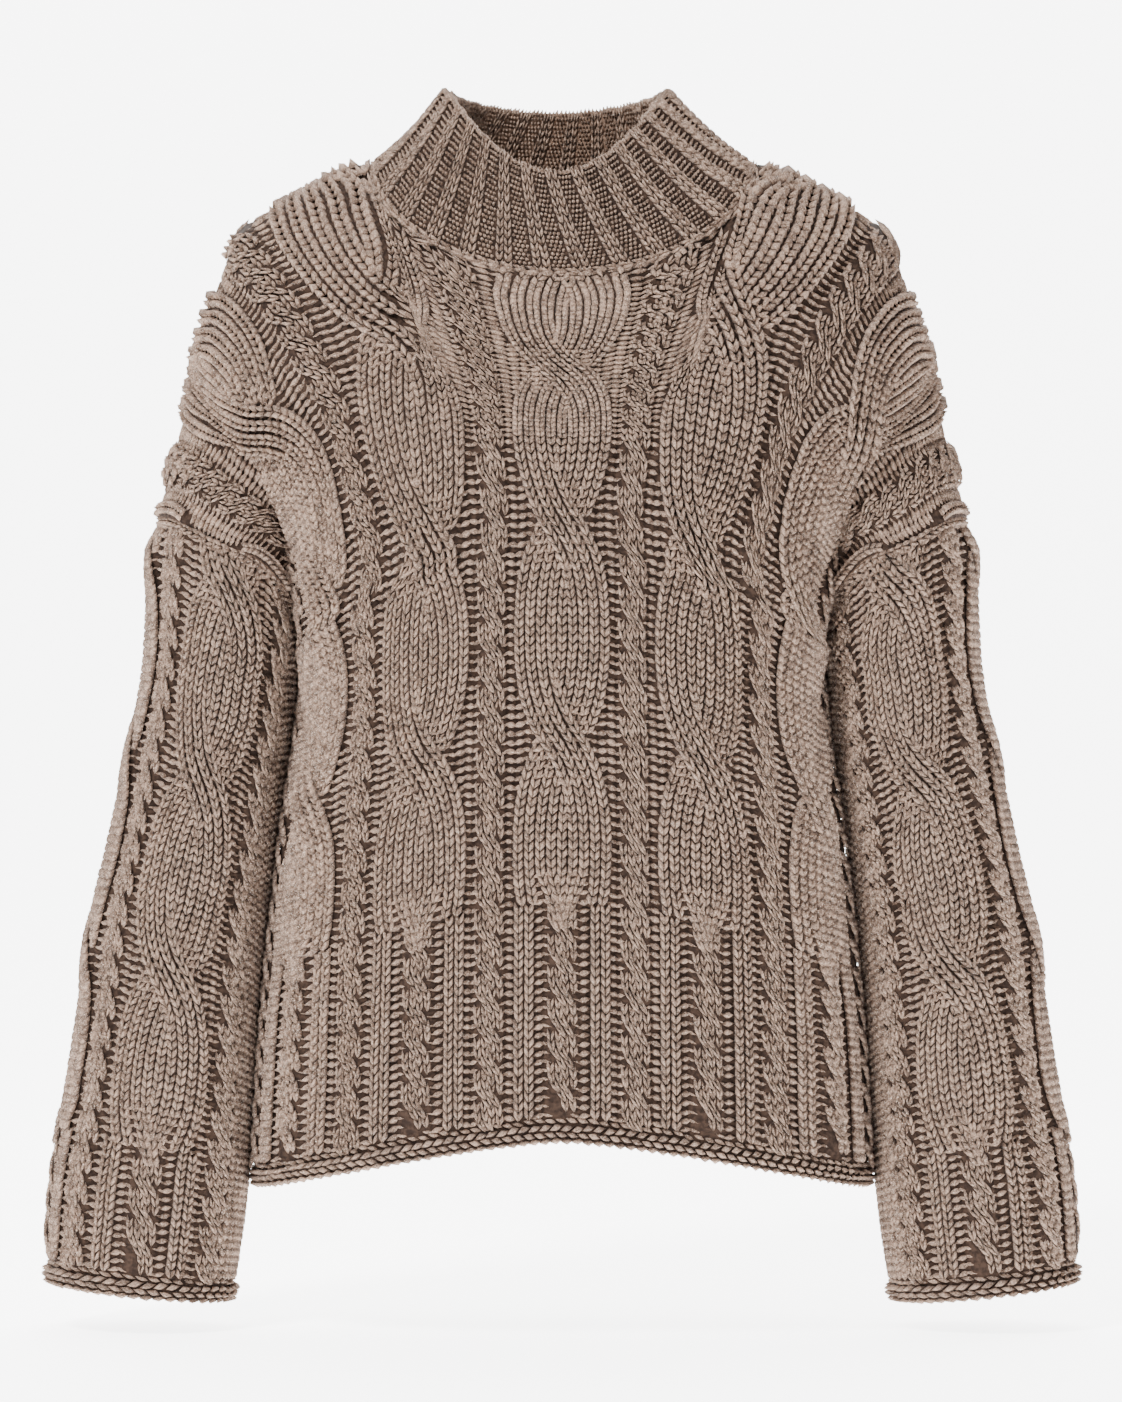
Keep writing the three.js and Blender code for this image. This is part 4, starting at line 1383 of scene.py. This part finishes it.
class Sweater:
    """The whole sweater, made piece by piece."""

    # Folds: wale, height and skew where each starts, the same where it ends, width and depth
    panel_folds: tuple = (
        (2.5, 330, 1, 2.02, 262, -1, 11, 3.0), (2.45, 372, -1, 2.0, 440, 1, 12, 2.6),
        (2.3, 232, 1, 2.22, 128, -1, 13, 2.8), (1.5, 92, -1, 1.62, 22, 0, 18, 2.0),
        (0.55, 70, 1, 0.5, 14, 0, 20, 1.6), (1.35, 455, -1, 1.9, 398, 0, 16, 1.8))
    sleeve_folds: tuple = (
        (1.75, 372, 1, 0.95, 330, -1, 10, 2.8), (1.7, 262, -1, 0.85, 236, 1, 12, 3.0),
        (1.6, 214, 1, 0.7, 200, -1, 10, 2.2), (-1.75, 360, -1, -0.95, 322, 1, 11, 2.6),
        (-1.65, 250, 1, -0.8, 232, -1, 12, 2.8), (-1.5, 196, -1, -0.7, 184, 0, 10, 2.0),
        (0.25, 120, 1, 0.75, 84, 0, 13, 1.8), (-0.3, 96, -1, -0.8, 62, 0, 13, 1.8))
    panel_repeat: float = 91.0
    sleeve_repeat: float = 72.0
    panel_skew: float = 6.0
    sleeve_skew: float = 7.0
    panel_fade: tuple = (6, 40, 85)
    sleeve_fade: float = 22.0
    panel_edge_loops: int = 76
    cuff_loops: int = 46
    armhole_loops: int = 66
    neck_loops: int = 84

    def __init__(self) -> None:
        """Make the surfaces and finishes."""
        self.pattern = Pattern()
        self.figure = Figure()
        self.collar_cut = CollarCut()
        charts = Charts(self.figure, self.collar_cut)
        self.panel_cable = CableRhythm(split=136, first=234, pitch=124.5)
        self.sleeve_cable = CableRhythm(split=93, first=199, pitch=120)
        self.panels = {side: charts.panel(side) for side in Side}
        front, back = self.panels.values()
        self.sleeves = {hand: charts.sleeve(hand, front, back) for hand in Hand}
        self.collar = charts.collar(front, back)
        self.press_folds()
        wool = Wool()
        self.finishes = {"loops": LoopFinish(wool), "gaps": GroundFinish("painted shade between loops", wool, False),
                         "inside": GroundFinish("inside of the knitting", wool, True)}

    def press_folds(self) -> None:
        """Press the soft folds of the worn shape into panels and sleeves."""

        def folds(rows: tuple, mirror: int, skew: float) -> list:
            """Folds of a table's rows, mirrored and skewed."""
            return [Fold((q0 * mirror, up0 + skew * skew0), (q1 * mirror, up1 + skew * skew1), width, depth)
                    for q0, up0, skew0, q1, up1, skew1, width, depth in rows]

        for side, chart in self.panels.items():
            for hand in (-1, 1):
                skew = self.panel_skew * hand * -side.value
                chart.crease(folds(self.panel_folds, hand, skew), self.panel_repeat)
        for hand, chart in self.sleeves.items():
            chart.crease(folds(self.sleeve_folds, 1, self.sleeve_skew * hand.value), self.sleeve_repeat)

    def courses(self, top: float) -> Array:
        """Heights of the course lines up to a top."""
        return np.linspace(0, top, int(round(top / self.pattern.course)) + 1)

    def make_panel(self, side: Side) -> None:
        """Knit the front or the back.

        Args:
            side: Which one.
        """
        chart, fig, pattern = self.panels[side], self.figure, self.pattern
        underarm = fig.underarm_z + fig.underarm_drop - fig.hem_z

        def fade(q: Array, up: Array) -> Array:
            """Share of the relief that is left."""
            corner = np.hypot((fig.repeats - np.abs(q)) * self.panel_fade[2], up - underarm)
            return smooth(*self.panel_fade[:2], corner)

        def relief(q: Array, up: Array) -> Array:
            """Height of the cloth's outer face over plain cloth."""
            high = pattern.with_roll(up, pattern.relief(q, up, self.panel_cable))
            return np.maximum(high * fade(q, up) - pattern.sunk, pattern.deepest)

        piece = Piece(side.name.lower(), chart, Cut(0.52, 0.62), self.finishes)
        piece.shell(relief, pattern.wall)
        knitter = Knitter(chart, pattern, self.panel_cable, SEED + side.value, fade, -side.value)
        courses = self.courses(float(chart.up[-1]))
        limit = fig.repeats - 0.03
        for middle in range(-3, 4):
            knitter.wide_cable(middle, courses, limit)
            knitter.gutters(middle, courses, limit)
        for middle in (-2.5, -1.5, -0.5, 0.5, 1.5, 2.5):
            knitter.rope(middle, pattern.roll_height, float(chart.up[-1]), limit)
        knitter.rolled_edge(-fig.repeats, fig.repeats, self.panel_edge_loops)
        piece.dress(cables=knitter.raised, purl=knitter.low)

    def make_sleeve(self, hand: Hand) -> None:
        """Knit a sleeve.

        Args:
            hand: Which one.
        """
        chart, pattern = self.sleeves[hand], self.pattern
        top = float(chart.up[-1])

        def fade(q: Array, up: Array) -> Array:
            """Share of the relief that is left."""
            return smooth(0, self.sleeve_fade, top - up)

        def relief(q: Array, up: Array) -> Array:
            """Height of the cloth's outer face over plain cloth."""
            plain = np.abs(np.abs(q) - 2) < 0.45
            knit = np.where(plain, pattern.rib_high / 2, pattern.relief(q, up, self.sleeve_cable))
            sunk = np.where(np.abs(q) < 0.2, pattern.crest_sunk, pattern.sunk)
            return np.maximum(pattern.with_roll(up, knit) * fade(q, up) - sunk, pattern.deepest)

        piece = Piece(f"sleeve_{hand.name.lower()}", chart, Cut(0.34, 0.45), self.finishes)
        piece.shell(relief, pattern.wall)
        knitter = Knitter(chart, pattern, self.sleeve_cable, SEED + 10 + hand.value, fade, -hand.value)
        courses = self.courses(top)
        for middle in (-1, 0, 1):
            knitter.wide_cable(middle, courses, math.inf)
            knitter.gutters(middle, courses, math.inf)
        for middle in (-1.5, -0.5, 0.5, 1.5):
            knitter.rope(middle, pattern.roll_height, top, math.inf)
        plain = courses[courses > pattern.roll_height - 1]
        for q in np.linspace(1.66, 2.34, 10):
            knitter.knit(knitter.raised, np.full_like(plain, q), plain, np.full_like(plain, 0.8), 0.072)
        knitter.rolled_edge(-2, 2, self.cuff_loops)
        knitter.seam_ridge(top - 1.5, self.armhole_loops)
        piece.dress(cables=knitter.raised, purl=knitter.low)

    def make_collar(self) -> None:
        """Knit the collar, with its ribs outside and their backs inside."""
        chart, cut, pattern = self.collar, self.collar_cut, self.pattern
        top = float(chart.up[-1])

        def fade(q: Array, up: Array) -> Array:
            """Share of the relief that is left."""
            return smooth(-2, 6, up)

        def relief(q: Array, up: Array) -> Array:
            """Height of the cloth's outer face over plain cloth."""
            offset = np.abs(np.mod(q - 0.125 + 0.5, 1) - 0.5)
            return 2.2 * (1 - smooth(0.2, 0.3, offset)) * fade(q, up) - 0.6

        piece = Piece("collar", chart, Cut(0.48, 0.06), self.finishes)
        piece.shell(relief, cut.wall)
        courses = np.linspace(0.5, top, 14)
        outside = Knitter(chart, pattern, self.panel_cable, SEED + 20, fade)
        inside = Knitter(turned(chart, cut.wall), pattern, self.panel_cable, SEED + 21,
                         lambda q, up: np.ones_like(q))
        seeds = np.linspace(1.0, top - 1.0, 24)
        odd = np.arange(len(seeds)) % 2 == 1
        sides = ((outside, 0.125, 0.625, 2.2), (inside, 0.625, 0.125, 1.0))
        for rib in range(cut.ribs):
            for knitter, knit_at, purl_at, lift in sides:
                for wale in (-0.118, 0.118):
                    q = np.full_like(courses, rib + knit_at + wale)
                    knitter.knit(knitter.raised, q, courses, np.full_like(courses, lift), 0.235)
                for wale in (-0.195, -0.065, 0.065, 0.195):
                    knitter.purl(rib + purl_at + wale, seeds, 0.085, ~odd, 0, 3.0)
                for wale in (-0.13, 0.0, 0.13):
                    knitter.purl(rib + purl_at + wale, seeds, 0.085, odd, 0, 3.0)
        outside.seam_ridge(0.6, self.neck_loops, 1.8)
        outside.top_edge(top, cut.ribs * 6, cut.wall)
        piece.dress(ribs=outside.raised, purl=outside.low, inner_ribs=inside.raised,
                    inner_purl=inside.low)


def turned(chart: Chart, wall: float) -> Chart:
    """The inner surface of a piece's cloth.

    Args:
        chart: Its outer surface.
        wall: Thickness of the cloth.

    Returns:
        A chart whose directions point inwards.
    """
    made = Chart(chart.up, chart.across, chart.points - chart.normals * wall, chart.wraps, 1.0)
    made.normals = -chart.normals
    return made


@dataclass(frozen=True)
class Studio:
    """Plain pale studio: floor, world, soft lights and camera."""

    frame_height: float = 0.8412
    camera_y: float = -3.0
    centre: tuple = (-0.0006, -0.3156)
    floor_z: float = -0.69
    glow_span: tuple = (-2.4, -0.3)
    near_glow: float = 0.05
    glow: float = 4.6
    wide: float = 7.0
    front_y: float = -6.0
    bend_y: float = 1.2
    bend: float = 1.5
    top_z: float = 6.0
    sky: float = 0.34
    aim: tuple = (0, 0, -0.3)
    lights: tuple = (("key light", (-1.4, -1.9, 2.0), 0.7, 205.0),
                     ("fill light", (2.1, -2.2, 0.5), 1.6, 30.0),
                     ("top light", (0.2, 0.4, 2.2), 1.5, 40.0))

    def build(self) -> None:
        """Make the floor, the lights and the camera."""
        self.floor()
        self.world()
        for light in self.lights:
            self.light(*light)
        self.camera()

    def floor(self) -> None:
        """Lay a wide pale floor that rises behind and glows, faintly in front and brightly behind."""
        finish = Finish("pale paper")
        # Painted glow: the floor's emission rises from faint in front to bright behind, so the backdrop
        # reads white.
        behind = finish.three(finish.place())[1].between(*self.glow_span)
        glow = finish.colour_between((self.near_glow,) * 3, (1.0, 1.0, 1.0), behind)
        finish.settle(Base_Color=(0.9, 0.9, 0.9, 1), Roughness=0.9, Emission_Color=glow,
                      Emission_Strength=self.glow)
        bend = self.bend
        profile = [(self.front_y, self.floor_z)]
        profile += [(self.bend_y + bend * math.sin(a), self.floor_z + bend * (1 - math.cos(a)))
                    for a in np.linspace(0, math.pi / 2, 13)]
        profile += [(self.bend_y + bend, self.top_z)]
        points = np.array([(x, y, z) for y, z in profile for x in (-self.wide, self.wide)])
        index = np.arange(len(profile) - 1) * 2
        floor = solid_mesh("paper_floor", points,
                           np.stack([index, index + 1, index + 3, index + 2], axis=-1))
        floor.data.materials.append(finish.material)

    def world(self) -> None:
        """Light everything evenly with near-white."""
        world = bpy.data.worlds.new("studio white")
        bpy.context.scene.world = world
        world.use_nodes = True
        background = world.node_tree.nodes["Background"]
        background.inputs["Color"].default_value = (1, 1, 1, 1)
        background.inputs["Strength"].default_value = self.sky

    def light(self, name: str, place: tuple, size: float, power: float) -> None:
        """Add a large soft light aimed at the sweater.

        Args:
            name: Its name.
            place: Where it stands.
            size: Its side, in metres.
            power: Its power, in watts.
        """
        data = bpy.data.lights.new(name, "AREA")
        data.energy, data.size = power, size
        made = linked(name, data)
        made.location = place
        aim = Vector(self.aim) - made.location
        made.rotation_euler = aim.to_track_quat("-Z", "Y").to_euler()

    def camera(self) -> None:
        """Set a level camera straight in front."""
        data = bpy.data.cameras.new("camera")
        data.sensor_fit, data.sensor_height = "VERTICAL", 24.0
        data.lens = data.sensor_height * -self.camera_y / self.frame_height
        made = linked("camera", data)
        made.location = (self.centre[0], self.camera_y, self.centre[1])
        made.rotation_euler = (math.pi / 2, 0, 0)
        bpy.context.scene.camera = made


def main() -> None:
    """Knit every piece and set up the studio."""
    logging.basicConfig(level=logging.INFO, format="%(name)s: %(message)s")
    sweater = Sweater()
    for side in Side:
        sweater.make_panel(side)
    for hand in Hand:
        sweater.make_sleeve(hand)
    sweater.make_collar()
    Studio().build()


if __name__ == "__main__":
    main()
